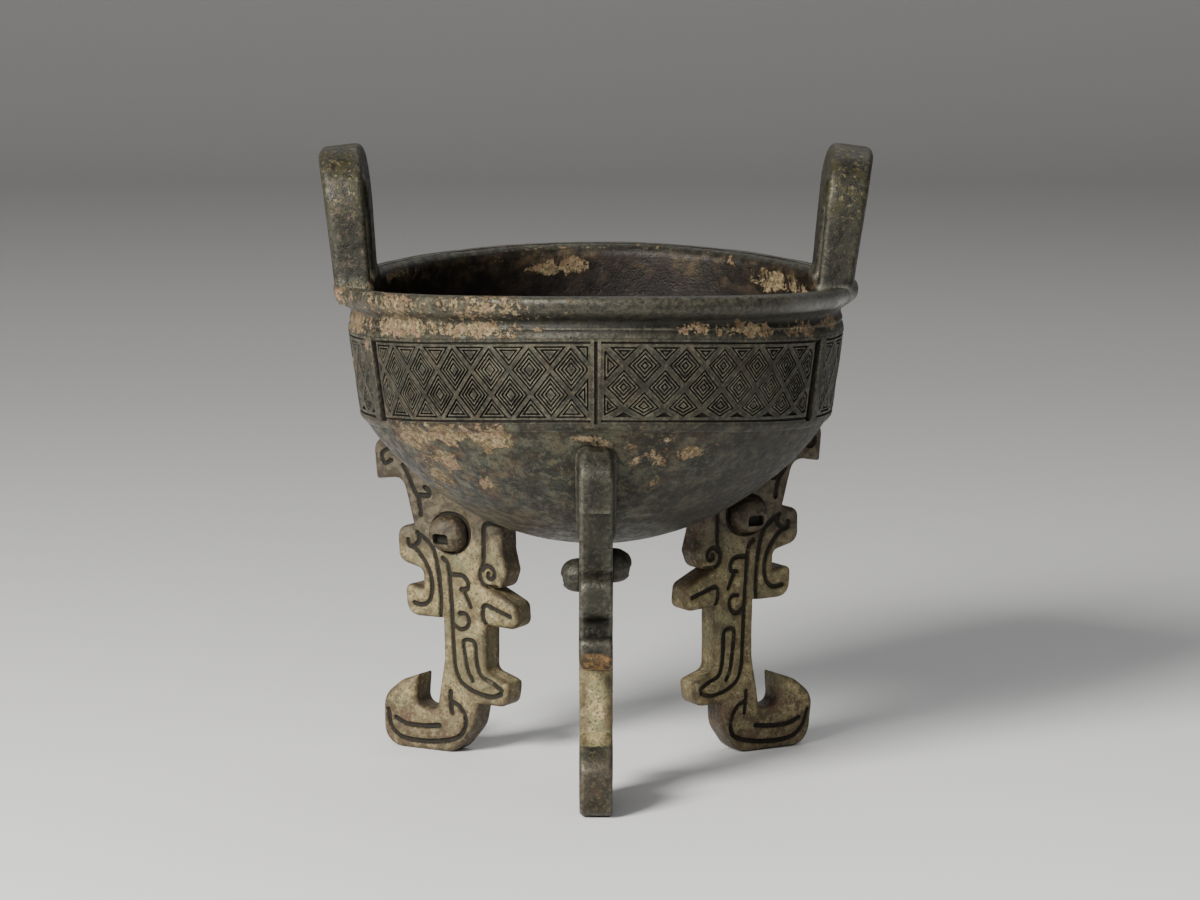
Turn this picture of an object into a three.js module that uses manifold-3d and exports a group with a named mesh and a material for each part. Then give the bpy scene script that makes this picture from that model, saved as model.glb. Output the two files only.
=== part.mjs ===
// A cast bronze ding: a round bowl on three flat dragon-shaped legs, with two upright loop handles.
// Millimetres, +Z up. The origin is on the ground under the bowl's axis, and the front leg points to -Y.
import * as THREE from 'three';
import { mergeVertices } from 'three/addons/utils/BufferGeometryUtils.js';
import Module from 'manifold-3d';

// Driving dimensions of the bowl: its belly is part of a ball, and neck, band and lip follow from it
const BELLY_RADIUS = 88;
const BELLY_CENTRE = 165.5;
const NECK_INSET = 6.8;
const NECK_SWELL = 0.8;
const LIP_OVERHANG = 5.8;
const LIP_TOP = 166.7;
const LIP_HEIGHT = 6.2;
const LIP_EDGE = 1.6;
const LIP_SLOPE = 3;
const LIP_INNER_ROUND = 3.4;
const WALL = 3;
const BOWL_STEPS = 44;
const SADDLE = 2;
const SADDLE_START = 94.4;
const NECK_RADIUS = BELLY_RADIUS - NECK_INSET;
const LIP_RADIUS = NECK_RADIUS + LIP_OVERHANG;

// Driving dimensions of the ornament band
const BAND_TOP = 152;
const BAND_BOTTOM = 124.4;
const BAND_TOP_PROUD = 1;
const BAND_BOTTOM_PROUD = 0.58;
const BAND_EDGE = 2.6;
const BAND_DEPTH = 3.2;
const BORDER = 1.5;
const RELIEF = 0.9;
const PERIOD = 9.5;
const STRIP = 0.8;
const GROOVE_SHARE = 0.62;
const SEAM_ANGLE = 1.2;
const RIB_ANGLE = 2.6;
const RIB_GROOVE_ANGLE = 2.8;
const RIB_GROOVE_DEPTH = 1.8;
const RIB_PROUD = 0.5;
const BAND_TOP_RADIUS = NECK_RADIUS + BAND_TOP_PROUD;

// Driving dimensions of the handles
const HANDLE_WIDTH = 52;
const HANDLE_TOP = 210;
const HANDLE_SET_IN = 0.6;
const HANDLE_LEAN = 5.2;
const RIGHT_HANDLE_SET_IN = 1.2;
const HANDLE_BOW = 1.6;
const HANDLE_TOP_TILT = 1.6;
const HANDLE_DEPTH_BASE = 11.6;
const HANDLE_DEPTH_TOP = 13.6;
const HANDLE_BAR = 11.7;
const HANDLE_ROUND = 21;
const HANDLE_FOOT_CHAMFER = 3;
const HANDLE_OUTER_BASE = LIP_RADIUS - HANDLE_SET_IN;

// Driving dimensions of the legs
const LEG_THICKNESS = 10.8;
const LEG_ROOT = 1.5;
const GROOVE_WIDTH = 1.4;
const GROOVE_DEPTH = 1;
const EYE_PLACE = [54, 76];
const EYE_LENGTH = 14.8;
const EYE_HEIGHT = 13.4;
const EYE_PROUD = 6;
const EYE_STEPS = 10;
const PUPIL_LENGTH = 5;
const PUPIL_HEIGHT = 2.4;
const PUPIL_DEPTH = 1.4;
const PUPIL_SHIFT = [1.4, -1.8];
const LIFT_START = 30;
const LIFT_END = 47;
const FIN_START = 78;
const FIN_END = 92;
const FOOT_TOP = 16;
const ROOT_RINGS = 16;

// Each leg: its direction from above, how far its upper part and its fin stand above the left leg's,
// how far its inner and outer edges lie further out, and which of its faces shows from the front
const LEGS = [
  { turn: -90, lift: 0, finLift: 7, innerShift: 0, outerShift: 0, showing: 1 },
  { turn: 150, lift: 0, finLift: 0, innerShift: 0, outerShift: 0, showing: -1 },
  { turn: 30, lift: 6.2, finLift: 0, innerShift: 4, outerShift: 1.6, showing: 1 },
];

// Shares and laps that keep joined forms clear of each other's faces
const BAND_SEAT = 0.4;
const BAND_LAP = 0.3;
const NECK_LAP = 0.5;
const CORNER_SHARE = 0.3;
const LONG_EDGE_SHARE = 0.6;
const MITRE_LIMIT = 0.6;
const OUTSIDE = 1;
const ARC_STEP = 42;

const wasm = await Module();
wasm.setup();

const rad = THREE.MathUtils.degToRad;
const deg = THREE.MathUtils.radToDeg;
const mix = THREE.MathUtils.lerp;
const clamp = THREE.MathUtils.clamp;
const smooth = THREE.MathUtils.smoothstep;

// Turns a closed geometry into a solid that can be joined and cut, with its faces pointing out
function solid(geometry) {
  let bare = geometry.index ? geometry.toNonIndexed() : geometry.clone();
  bare.deleteAttribute('normal');
  bare.deleteAttribute('uv');
  bare = mergeVertices(bare, 1e-4);
  const place = bare.getAttribute('position');
  const corners = bare.getIndex().array;
  const [p, q, r] = [new THREE.Vector3(), new THREE.Vector3(), new THREE.Vector3()];
  const kept = [];
  let volume = 0;
  for (let i = 0; i < corners.length; i += 3) {
    const [a, b, c] = [corners[i], corners[i + 1], corners[i + 2]];
    if (a === b || b === c || c === a) continue;
    kept.push(a, b, c);
    p.fromBufferAttribute(place, a);
    q.fromBufferAttribute(place, b);
    r.fromBufferAttribute(place, c);
    volume += p.dot(q.cross(r));
  }
  if (volume < 0) kept.reverse();
  return new wasm.Manifold(new wasm.Mesh({
    numProp: 3,
    vertProperties: new Float32Array(place.array),
    triVerts: new Uint32Array(kept),
  }));
}

function geometryOf(body) {
  const mesh = body.getMesh();
  const geometry = new THREE.BufferGeometry();
  geometry.setAttribute('position', new THREE.BufferAttribute(new Float32Array(mesh.vertProperties), 3));
  geometry.setIndex(new THREE.BufferAttribute(new Uint32Array(mesh.triVerts), 1));
  return geometry;
}

// Points of a path through corners [u, z, radius], each rounded by a curve of its own radius
function rounded(corners) {
  return corners.flatMap(([u, z, radius = 0], i) => {
    const here = new THREE.Vector2(u, z);
    const last = corners.length - 1;
    if (!radius || i === 0 || i === last) return [here];
    const back = new THREE.Vector2(...corners[i - 1]).sub(here);
    const ahead = new THREE.Vector2(...corners[i + 1]).sub(here);
    const turn = Math.PI - back.angleTo(ahead);
    const reach = Math.min(radius * Math.tan(turn / 2), back.length() * 0.49, ahead.length() * 0.49);
    const start = here.clone().add(back.setLength(reach));
    const end = here.clone().add(ahead.setLength(reach));
    const steps = Math.max(1, Math.round(deg(turn) / ARC_STEP));
    return new THREE.QuadraticBezierCurve(start, here, end).getPoints(steps);
  });
}

// Outline of a groove of even width along a line of points, with mitred corners
function strokeOutline(line, width) {
  const points = line.map(([u, z]) => new THREE.Vector2(u, z));
  const along = (i) => points[i + 1].clone().sub(points[i]).normalize();
  const count = points.length;
  const left = [];
  const right = [];
  for (let i = 1; i < count - 1; i++) {
    const bisector = along(i - 1).add(along(i)).normalize();
    const side = new THREE.Vector2(-bisector.y, bisector.x);
    const spread = width / 2 / Math.max(MITRE_LIMIT, bisector.dot(along(i)));
    left.push(points[i].clone().addScaledVector(side, spread));
    right.unshift(points[i].clone().addScaledVector(side, -spread));
  }
  const startSide = new THREE.Vector2(-along(0).y, along(0).x).multiplyScalar(width / 2);
  const endSide = new THREE.Vector2(-along(count - 2).y, along(count - 2).x).multiplyScalar(width / 2);
  left.unshift(points[0].clone().add(startSide));
  right.push(points[0].clone().sub(startSide));
  left.push(points[count - 1].clone().add(endSide));
  right.unshift(points[count - 1].clone().sub(endSide));
  return [...left, ...right];
}

// Raises the rim a little at front and back and lowers it at the handles, as it was cast
function saddle(geometry) {
  const place = geometry.getAttribute('position');
  for (let i = 0; i < place.count; i++) {
    const [x, y, z] = [place.getX(i), place.getY(i), place.getZ(i)];
    const rise = smooth(z, SADDLE_START, BAND_TOP);
    const fade = 1 - smooth(z, LIP_TOP, HANDLE_TOP);
    const around = Math.atan2(x, -y);
    place.setZ(i, z + SADDLE * rise * fade * Math.cos(2 * around));
  }
  geometry.computeVertexNormals();
  return geometry;
}

// The belly is part of a ball, outside and inside
function bellyArc(radius, fromHeight, toHeight, steps) {
  const angleAt = (z) => Math.asin(clamp((z - BELLY_CENTRE) / radius, -1, 1));
  const points = [];
  for (let k = 0; k <= steps; k++) {
    const angle = mix(angleAt(fromHeight), angleAt(toHeight), k / steps);
    const reach = Math.abs(angle + Math.PI / 2) < 1e-6 ? 0 : radius * Math.cos(angle);
    points.push([reach, BELLY_CENTRE + radius * Math.sin(angle)]);
  }
  return points;
}

// Outer radius of the belly at a height
function bellyAt(z) {
  return Math.sqrt(BELLY_RADIUS ** 2 - (z - BELLY_CENTRE) ** 2);
}

// The shell under the ornament band, from the bottom of the outside to the bottom of the inside
function bowl() {
  const core = RIB_GROOVE_DEPTH + BAND_SEAT;
  const innerBelly = BELLY_RADIUS - WALL;
  const lipBottom = LIP_TOP - LIP_HEIGHT;
  const innerNeck = NECK_RADIUS - WALL;
  const innerCut = LIP_INNER_ROUND * CORNER_SHARE;
  const profile = [
    ...bellyArc(BELLY_RADIUS, -Infinity, BAND_BOTTOM - BAND_EDGE, 7),
    [bandRadius(BAND_BOTTOM) - core, BAND_BOTTOM],
    [BAND_TOP_RADIUS - core, BAND_TOP - core],
    [NECK_RADIUS + NECK_SWELL, BAND_TOP - NECK_LAP],
    [NECK_RADIUS, (BAND_TOP + lipBottom) / 2],
    [NECK_RADIUS, lipBottom - LIP_SLOPE],
    [LIP_RADIUS - LIP_EDGE, lipBottom],
    [LIP_RADIUS, lipBottom + LIP_EDGE],
    [LIP_RADIUS, LIP_TOP - LIP_EDGE],
    [LIP_RADIUS - LIP_EDGE, LIP_TOP],
    [innerNeck + LIP_INNER_ROUND, LIP_TOP],
    [innerNeck + innerCut, LIP_TOP - innerCut],
    [innerNeck, LIP_TOP - LIP_INNER_ROUND],
    [innerNeck, BAND_TOP],
    ...bellyArc(innerBelly, BAND_BOTTOM, -Infinity, 6),
  ];
  const shell = new THREE.LatheGeometry(profile.map((p) => new THREE.Vector2(...p)), BOWL_STEPS);
  return solid(shell.rotateX(Math.PI / 2));
}

// Radius of the band's face at a height, and of its rounded lower edge below that
function bandRadius(z) {
  const low = BAND_BOTTOM - BAND_EDGE;
  const bottomRadius = bellyAt(BAND_BOTTOM) + BAND_BOTTOM_PROUD;
  if (z < BAND_BOTTOM) return mix(bellyAt(low) + BAND_LAP, bottomRadius, (z - low) / BAND_EDGE);
  return mix(bottomRadius, BAND_TOP_RADIUS, (z - BAND_BOTTOM) / (BAND_TOP - BAND_BOTTOM));
}

// Middle of an outline, and the outline drawn in towards it
const middleOf = (outline) => [0, 1].map((k) => outline.reduce((sum, p) => sum + p[k], 0) / outline.length);

function drawnIn(outline, share) {
  const centre = middleOf(outline);
  return outline.map((point) => point.map((value, k) => mix(centre[k], value, share)));
}

// Place of an [angle, height] point on the band, at a depth under its face
function onBand([angle, z], sunk) {
  const radius = bandRadius(z) - sunk;
  return [radius * Math.sin(rad(angle)), -radius * Math.cos(rad(angle)), z];
}

// Keeps the part of a convex outline where a*x + b*y <= c
function clip(outline, [a, b, c]) {
  const value = ([x, y]) => a * x + b * y - c;
  return outline.flatMap((here, i) => {
    const next = outline[(i + 1) % outline.length];
    const [from, to] = [value(here), value(next)];
    const kept = from <= 0 ? [here] : [];
    if (from * to < 0) {
      const share = from / (from - to);
      kept.push([mix(here[0], next[0], share), mix(here[1], next[1], share)]);
    }
    return kept;
  });
}

// Two kinds of panel: the heights of the rows of diamonds, as shares from the upper to the lower border,
// and how far the first diamond's middle lies from the panel's start
const PANEL_KINDS = {
  wide: { rows: [0, 1 / 3, 2 / 3, 1], shift: 2.2 },
  tight: { rows: [0, 0.278, 0.572, 0.85, 1], shift: 5.1 },
};

// Panels around the band: start and end angle from the front, their kind, and which are at the front
const RIB_END = 60 + RIB_GROOVE_ANGLE + RIB_ANGLE;
const PANELS = [
  [SEAM_ANGLE, 60, 'tight', 'front'],
  [RIB_END, 120 - SEAM_ANGLE, 'wide'],
  [120 + SEAM_ANGLE, 180 - SEAM_ANGLE, 'tight'],
  [180 + SEAM_ANGLE, 240 - SEAM_ANGLE, 'wide'],
  [240 + SEAM_ANGLE, 360 - RIB_END, 'tight'],
  [300, 360 - SEAM_ANGLE, 'wide', 'front'],
];

// The upright strips between the panels, each as angles and depths from one panel to the next
const RIB_START = 60 + RIB_GROOVE_ANGLE;
const DIVIDERS = [
  { angles: [60, RIB_START, RIB_END], depths: [RIB_GROOVE_DEPTH, -RIB_PROUD] },
  ...[120, 180, 240].map(seam),
  { angles: [360 - RIB_END, 360 - RIB_START, 300], depths: [-RIB_PROUD, RIB_GROOVE_DEPTH] },
  seam(360),
];

function seam(angle) {
  const angles = [angle - SEAM_ANGLE, angle - SEAM_ANGLE / 3, angle + SEAM_ANGLE / 3, angle + SEAM_ANGLE];
  return { angles, depths: [0, RELIEF, 0] };
}

// Adds a point in the middle of each edge that would cut across the round band
function splitLong(outline) {
  return outline.flatMap((here, i) => {
    const next = outline[(i + 1) % outline.length];
    if (Math.abs(next[0] - here[0]) < PERIOD * LONG_EDGE_SHARE) return [here];
    return [here, [(here[0] + next[0]) / 2, (here[1] + next[1]) / 2]];
  });
}

const rounded4 = (value) => Math.round(value * 1e4) / 1e4;

// The tiles of one panel's lattice: diamonds between the rows above and below their own, and the
// halves of diamonds along the borders and sides
function tiles([startAngle, endAngle, kindName]) {
  const { rows, shift } = PANEL_KINDS[kindName];
  const heights = rows.map((share) => rounded4(mix(BAND_TOP - BORDER, BAND_BOTTOM + BORDER, share)));
  const halfAngle = PERIOD / 2;
  const found = [];
  heights.forEach((z, row) => {
    const first = startAngle + shift - (row % 2 ? halfAngle : PERIOD);
    for (let angle = first; angle < endAngle + halfAngle; angle += PERIOD) {
      let tile = [[angle - halfAngle, z], [angle + halfAngle, z]];
      if (row + 1 < heights.length) tile.splice(1, 0, [angle, heights[row + 1]]);
      if (row > 0) tile.push([angle, heights[row - 1]]);
      tile = clip(tile, [-1, 0, -startAngle]);
      tile = clip(tile, [1, 0, endAngle]);
      const outline = tile.map((point) => point.map(rounded4));
      const distinct = outline.filter(([x, y], i) => {
        const [nextX, nextY] = outline[(i + 1) % outline.length];
        return Math.hypot(nextX - x, nextY - y) > 1e-3;
      });
      if (distinct.length > 2) found.push(splitLong(distinct));
    }
  });
  return found;
}

// Shortest way in millimetres from the middle of a tile to its edges
function tileReach(tile) {
  const scale = rad(1) * BAND_TOP_RADIUS;
  const [centreX, centreZ] = middleOf(tile);
  return Math.min(...tile.map(([x, z], i) => {
    const [nextX, nextZ] = tile[(i + 1) % tile.length];
    const along = [(nextX - x) * scale, nextZ - z];
    const away = [(centreX - x) * scale, centreZ - z];
    return Math.abs(along[0] * away[1] - along[1] * away[0]) / Math.hypot(...along);
  }));
}

// Rings of a tile as [share of its outline, depth]: its strip, then the slope into its sunken middle.
// On the front panels a point rises again in the middle.
function tileRings(tile, rich) {
  const reach = tileReach(tile);
  if (reach < 2 * STRIP) return [[0, 0]];
  const strip = 1 - STRIP / reach;
  return rich ? [[strip, 0], [strip * GROOVE_SHARE, RELIEF], [0, 0]] : [[strip, 0], [0, RELIEF]];
}

// Outline of a block between two angles and two heights
const quad = (from, to, low, high) => [[from, low], [to, low], [to, high], [from, high]];

// The borders above and below a panel, in blocks that end where its tiles do
function borderBlocks(panelTiles) {
  const lowLine = rounded4(BAND_BOTTOM + BORDER);
  const highLine = rounded4(BAND_TOP - BORDER);
  return panelTiles.flatMap((tile) => tile.flatMap(([x, z], i) => {
    const [nextX, nextZ] = tile[(i + 1) % tile.length];
    if (z !== nextZ) return [];
    const [from, to] = [Math.min(x, nextX), Math.max(x, nextX)];
    if (z === highLine) return [quad(from, to, highLine, BAND_TOP)];
    if (z !== lowLine) return [];
    return [quad(from, to, BAND_BOTTOM, lowLine), quad(from, to, BAND_BOTTOM - BAND_EDGE, BAND_BOTTOM)];
  })).map((outline) => ({ outline, rings: [] }));
}

// Heights of a panel's corners along one of its upright sides, with the band's own edges
function sideHeights(panelTiles, angle) {
  const found = panelTiles.flat().filter(([x]) => x === angle).map(([, z]) => z);
  return [...new Set([BAND_BOTTOM, ...found, BAND_TOP])].sort((a, b) => a - b);
}

// An upright strip between two panels, whose outline has the corners of the panels beside it
function dividerBlocks({ angles, depths }, before, after) {
  return depths.flatMap((depth, k) => {
    const [from, to] = [rounded4(angles[k]), rounded4(angles[k + 1])];
    const edges = [BAND_BOTTOM, BAND_TOP];
    const left = k === 0 ? sideHeights(before, from) : edges;
    const right = k === depths.length - 1 ? sideHeights(after, to) : edges;
    const outline = [...right.map((z) => [to, z]), ...left.reverse().map((z) => [from, z])];
    const rings = depth === 0 ? [[0, 0]] : [[1, depth], [0, depth]];
    const lowerEdge = quad(from, to, BAND_BOTTOM - BAND_EDGE, BAND_BOTTOM);
    return [{ outline, rings }, { outline: lowerEdge, rings: [] }];
  });
}

// The band as one closed ring: blocks side by side, with walls only where no block follows
function ornamentBand() {
  const panelTiles = PANELS.map(tiles);
  const blocks = panelTiles.flatMap((found, i) => [
    ...found.map((outline) => ({ outline, rings: tileRings(outline, PANELS[i][3] === 'front') })),
    ...borderBlocks(found),
    ...dividerBlocks(DIVIDERS[i], found, nextPanel(panelTiles, i)),
  ]);
  const points = [];
  const edgeName = (from, to) => `${from.map(rounded4)} ${to.map(rounded4)}`;
  const edges = new Set();
  for (const { outline } of blocks) {
    outline.forEach((here, i) => {
      const next = outline[(i + 1) % outline.length];
      edges.add(edgeName(onBand(here, 0), onBand(next, 0)));
    });
  }
  for (const { outline, rings } of blocks) {
    const levels = [[1, 0], ...rings].map(([share, sunk]) => {
      return drawnIn(outline, share).map((point) => onBand(point, sunk));
    });
    const back = outline.map((point) => onBand(point, BAND_DEPTH));
    const backMiddle = onBand(middleOf(outline), BAND_DEPTH);
    outline.forEach((_, i) => {
      const j = (i + 1) % outline.length;
      for (let k = 0; k + 1 < levels.length; k++) {
        const [a, b, c, d] = [levels[k][i], levels[k][j], levels[k + 1][j], levels[k + 1][i]];
        points.push(...a, ...b, ...c);
        if (k + 2 < levels.length) points.push(...a, ...c, ...d);
      }
      if (levels.length === 1 && j > 1) points.push(...levels[0][0], ...levels[0][i], ...levels[0][j]);
      points.push(...backMiddle, ...back[j], ...back[i]);
      const [from, to] = [levels[0][i], levels[0][j]];
      if (!edges.has(edgeName(to, from))) {
        points.push(...from, ...back[j], ...to, ...from, ...back[i], ...back[j]);
      }
    });
  }
  const geometry = new THREE.BufferGeometry();
  geometry.setAttribute('position', new THREE.Float32BufferAttribute(points, 3));
  return solid(geometry);
}

// The panel after one, on the far side of the divider that follows it
function nextPanel(panelTiles, i) {
  if (i + 1 < panelTiles.length) return panelTiles[i + 1];
  return panelTiles[0].map((tile) => tile.map(([angle, z]) => [rounded4(angle + 360), z]));
}

// A loop handle: an upright arch that leans outwards, is bowed like the rim and grows thicker to its top
function handle(side) {
  const half = HANDLE_WIDTH / 2;
  const base = LIP_TOP - LIP_HEIGHT;
  const inner = half - HANDLE_BAR;
  const holeTop = HANDLE_TOP - HANDLE_BAR;
  const arch = (reach, top, radius) => rounded([
    [-reach, base],
    [-reach, LIP_TOP],
    [-reach, top, radius],
    [reach, top, radius],
    [reach, LIP_TOP],
    [reach, base],
  ]);
  const outline = [...arch(half, HANDLE_TOP, HANDLE_ROUND)];
  outline.push(...arch(inner, holeTop, HANDLE_ROUND - HANDLE_BAR * 0.8).reverse());
  const slab = new THREE.ExtrudeGeometry(new THREE.Shape(outline), { depth: 1, bevelEnabled: false });
  const place = slab.getAttribute('position');
  for (let i = 0; i < place.count; i++) {
    const [y, z, share] = [place.getX(i), place.getY(i), place.getZ(i)];
    const rise = clamp((z - LIP_TOP) / (HANDLE_TOP - LIP_TOP), 0, 1);
    const setIn = side > 0 ? RIGHT_HANDLE_SET_IN * (1 - rise) : 0;
    const bow = HANDLE_BOW * (y / half) ** 2;
    const outer = HANDLE_OUTER_BASE + HANDLE_LEAN * rise - setIn - bow;
    const depth = mix(HANDLE_DEPTH_BASE, HANDLE_DEPTH_TOP, rise);
    const foot = z < LIP_TOP && share < 0.5 ? HANDLE_FOOT_CHAMFER : 0;
    place.setXYZ(i, side * (outer - depth * share - foot), y, z - HANDLE_TOP_TILT * rise * (1 - share));
  }
  return solid(slab);
}

// Moves a point of the left leg's drawing to its place on another leg
function onLeg([u, z], leg) {
  const lifted = z + leg.lift * smooth(z, LIFT_START, LIFT_END) + leg.finLift * smooth(z, FIN_START, FIN_END);
  const outward = mix(leg.innerShift, leg.outerShift, smooth(u, 32, 57)) * smooth(z, 0, FOOT_TOP);
  return [u + outward, lifted];
}

// The leg's outline from the fin at the bowl, down the outer side, round the foot and up the inner side
const LEG_CORNERS = [
  [66.5, 110.3], [79.5, 110.3, 5], [84.8, 104.5, 6], [83.9, 92.2, 1], [73.4, 94, 5], [69.2, 78],
  [75.4, 76.4, 4.5], [75.2, 65.2, 5], [65.2, 62.6, 3], [65.2, 56.2],
  [72.4, 57.6, 4], [72, 46.2, 6.5], [57.3, 46.3],
  [57, 33, 20], [60, 14.6, 2.6], [68.4, 14.9, 5], [67.5, 26],
  [74.3, 23.4, 8], [81.4, 17.6, 9], [81.4, 0, 8.5], [53, 0, 8], [45, 9.5, 9], [43.4, 17.8],
  [32.4, 17.6, 3.5], [31.3, 25.9, 1.5], [40.4, 29.2, 3], [40.4, 45.4],
  [27.6, 44.6, 3.2], [28.4, 53, 3], [39.6, 58.4],
  [34, 58.2, 3.5], [31.8, 64, 3], [33.6, 71, 6], [33.8, 84.2],
];

// The carved lines of the left leg: the long ones are on both faces of every leg
const LONG_GROOVES = [
  [[72.7, 97.8], [68.2, 89.4], [65.8, 81.3]],
  [[68.4, 69.6], [62.6, 62.4], [61.4, 57.2], [63.2, 51.6], [68.4, 50.7]],
  [[67, 75], [61.2, 70], [58.2, 57.2], [58.3, 47.4]],
  [[57.1, 67.2], [53.9, 62.4], [52.1, 29.7], [49.6, 24.6], [38.3, 20.9], [34.4, 22]],
  [[36, 80.2], [40.6, 79.6], [40.6, 66.4], [42, 63], [39.6, 59.4]],
  [[53.2, 17.6], [49, 14.6], [49, 8.8], [53, 5], [66.7, 2.9], [76.4, 5.4], [79.2, 12.6]],
];

// The short lines and curls between them, on the faces that look to the front
const SHORT_GROOVES = [
  [[78, 103.8], [81.2, 102.8], [80.8, 98.8], [77.4, 98.8]],
  [[67, 73.6], [68.4, 70.2], [70.8, 72]],
  [[34, 23.4], [41.4, 26.8], [44.4, 39.3], [48.6, 39.3], [45.6, 26]],
  [[53.6, 61.6], [48.6, 61], [47.6, 57.6], [50.2, 57]],
  [[49.2, 56.6], [46.2, 51.4]],
  [[53, 44.2], [48.2, 43.6], [47.4, 47.4], [49.8, 48.6]],
  [[31.7, 49.5], [40.6, 52.2], [40.4, 46.4]],
  [[54.4, 21.3], [53.2, 13.8]],
  [[58.8, 9], [71.7, 8.3], [76.3, 10.1]],
];

// Lays a flat outline on a leg's middle plane, extrudes it and turns it to the leg's direction
function plate(outline, leg, start, end) {
  const shape = new THREE.Shape(outline);
  const slab = new THREE.ExtrudeGeometry(shape, { depth: end - start, bevelEnabled: false });
  slab.translate(0, 0, start);
  slab.rotateX(Math.PI / 2);
  slab.rotateZ(rad(leg.turn));
  return solid(slab);
}

// The bulging eye with its sunken pupil, on both faces
function eye(leg, face) {
  const [u, z] = onLeg(EYE_PLACE, leg);
  const dome = new THREE.SphereGeometry(1, EYE_STEPS, EYE_STEPS / 2);
  const root = LEG_THICKNESS / 2 - 1;
  dome.scale(EYE_LENGTH / 2, EYE_PROUD + 1, EYE_HEIGHT / 2);
  dome.translate(u, face * root, z);
  const pupil = new THREE.BoxGeometry(PUPIL_LENGTH, PUPIL_DEPTH * 4, PUPIL_HEIGHT);
  const front = root + EYE_PROUD + 1;
  pupil.translate(u + PUPIL_SHIFT[0], face * (front + PUPIL_DEPTH * 0.2), z + PUPIL_SHIFT[1]);
  const turn = rad(leg.turn);
  return [solid(dome.rotateZ(turn)), solid(pupil.rotateZ(turn))];
}

// The ball that ends the legs inside the bowl's wall
function legRoot() {
  const radius = BELLY_RADIUS - LEG_ROOT;
  const profile = bellyArc(radius, -Infinity, BELLY_CENTRE, ROOT_RINGS);
  profile.push([0, BELLY_CENTRE]);
  const ball = new THREE.LatheGeometry(profile.map((p) => new THREE.Vector2(...p)), BOWL_STEPS);
  return solid(ball.rotateX(Math.PI / 2));
}

function dragonLeg(leg) {
  const edge = rounded(LEG_CORNERS.map(([u, z, radius]) => [...onLeg([u, z], leg), radius]));
  const finTop = edge[0];
  const jawTop = edge[edge.length - 1];
  edge.push(new THREE.Vector2(jawTop.x, finTop.y));
  const half = LEG_THICKNESS / 2;
  const cuts = [1, -1].flatMap((face) => {
    const lines = face === leg.showing ? [...LONG_GROOVES, ...SHORT_GROOVES] : LONG_GROOVES;
    const reach = [face * (half - GROOVE_DEPTH), face * (half + OUTSIDE)];
    return lines.map((line) => {
      const outline = strokeOutline(line.map((point) => onLeg(point, leg)), GROOVE_WIDTH);
      return plate(outline, leg, Math.min(...reach), Math.max(...reach));
    });
  });
  const [domeA, pupilA] = eye(leg, 1);
  const [domeB, pupilB] = eye(leg, -1);
  const body = plate(edge, leg, -half, half).subtract(legRoot()).subtract(wasm.Manifold.union(cuts));
  return body.add(domeA).add(domeB).subtract(pupilA.add(pupilB));
}

const vessel = wasm.Manifold.union([
  bowl(),
  ornamentBand(),
  handle(1),
  handle(-1),
  ...LEGS.map(dragonLeg),
]);

const bronze = new THREE.MeshStandardMaterial({ color: 0x4b4d42, roughness: 0.55, metalness: 0.8 });
const ding = new THREE.Mesh(saddle(geometryOf(vessel)), bronze);
ding.name = 'ding_vessel';

const group = new THREE.Group();
group.add(ding);
export default group;
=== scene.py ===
import math

import bmesh
import bpy
import numpy as np
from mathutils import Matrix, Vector, geometry, noise


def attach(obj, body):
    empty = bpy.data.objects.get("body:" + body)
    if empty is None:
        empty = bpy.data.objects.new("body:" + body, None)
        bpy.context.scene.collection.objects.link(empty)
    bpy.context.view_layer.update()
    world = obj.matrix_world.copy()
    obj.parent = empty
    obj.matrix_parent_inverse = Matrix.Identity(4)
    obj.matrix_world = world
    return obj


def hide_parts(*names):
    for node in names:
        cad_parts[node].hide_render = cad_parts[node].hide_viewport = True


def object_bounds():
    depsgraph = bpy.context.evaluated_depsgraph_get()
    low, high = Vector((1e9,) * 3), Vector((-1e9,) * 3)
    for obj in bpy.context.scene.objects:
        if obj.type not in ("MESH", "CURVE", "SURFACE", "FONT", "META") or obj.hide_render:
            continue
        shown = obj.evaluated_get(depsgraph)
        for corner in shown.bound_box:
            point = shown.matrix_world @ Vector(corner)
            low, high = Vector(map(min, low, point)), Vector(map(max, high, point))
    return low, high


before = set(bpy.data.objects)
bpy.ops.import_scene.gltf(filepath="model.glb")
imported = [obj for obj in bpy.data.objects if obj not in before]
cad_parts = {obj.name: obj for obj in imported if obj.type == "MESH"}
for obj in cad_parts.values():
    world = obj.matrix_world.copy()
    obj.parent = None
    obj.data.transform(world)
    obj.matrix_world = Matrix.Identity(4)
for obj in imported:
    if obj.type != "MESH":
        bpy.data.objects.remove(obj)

CAD_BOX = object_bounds()
MM = 0.001

# Sizes of the bowl, in millimetres, as in the CAD
LIP_RADIUS = 86.9
LIP_TOP = 166.7
LIP_HEIGHT = 6.2
NECK_RADIUS = 81.2
WALL = 3.0
BELLY_RADIUS = 88.0
BELLY_CENTRE = 165.5
SADDLE = 2.0
BAND_SADDLE = 3.0
BOWL_STEPS = 240
CORE_ROOM = 0.4
MOUTH_ROUND = 4.2
MOUTH_DEPTH = 4.4
INNER_BELLY_TOP = 126.0
BELLY_STEPS, INNER_STEPS, MOUTH_STEPS = 40, 34, 9

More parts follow.
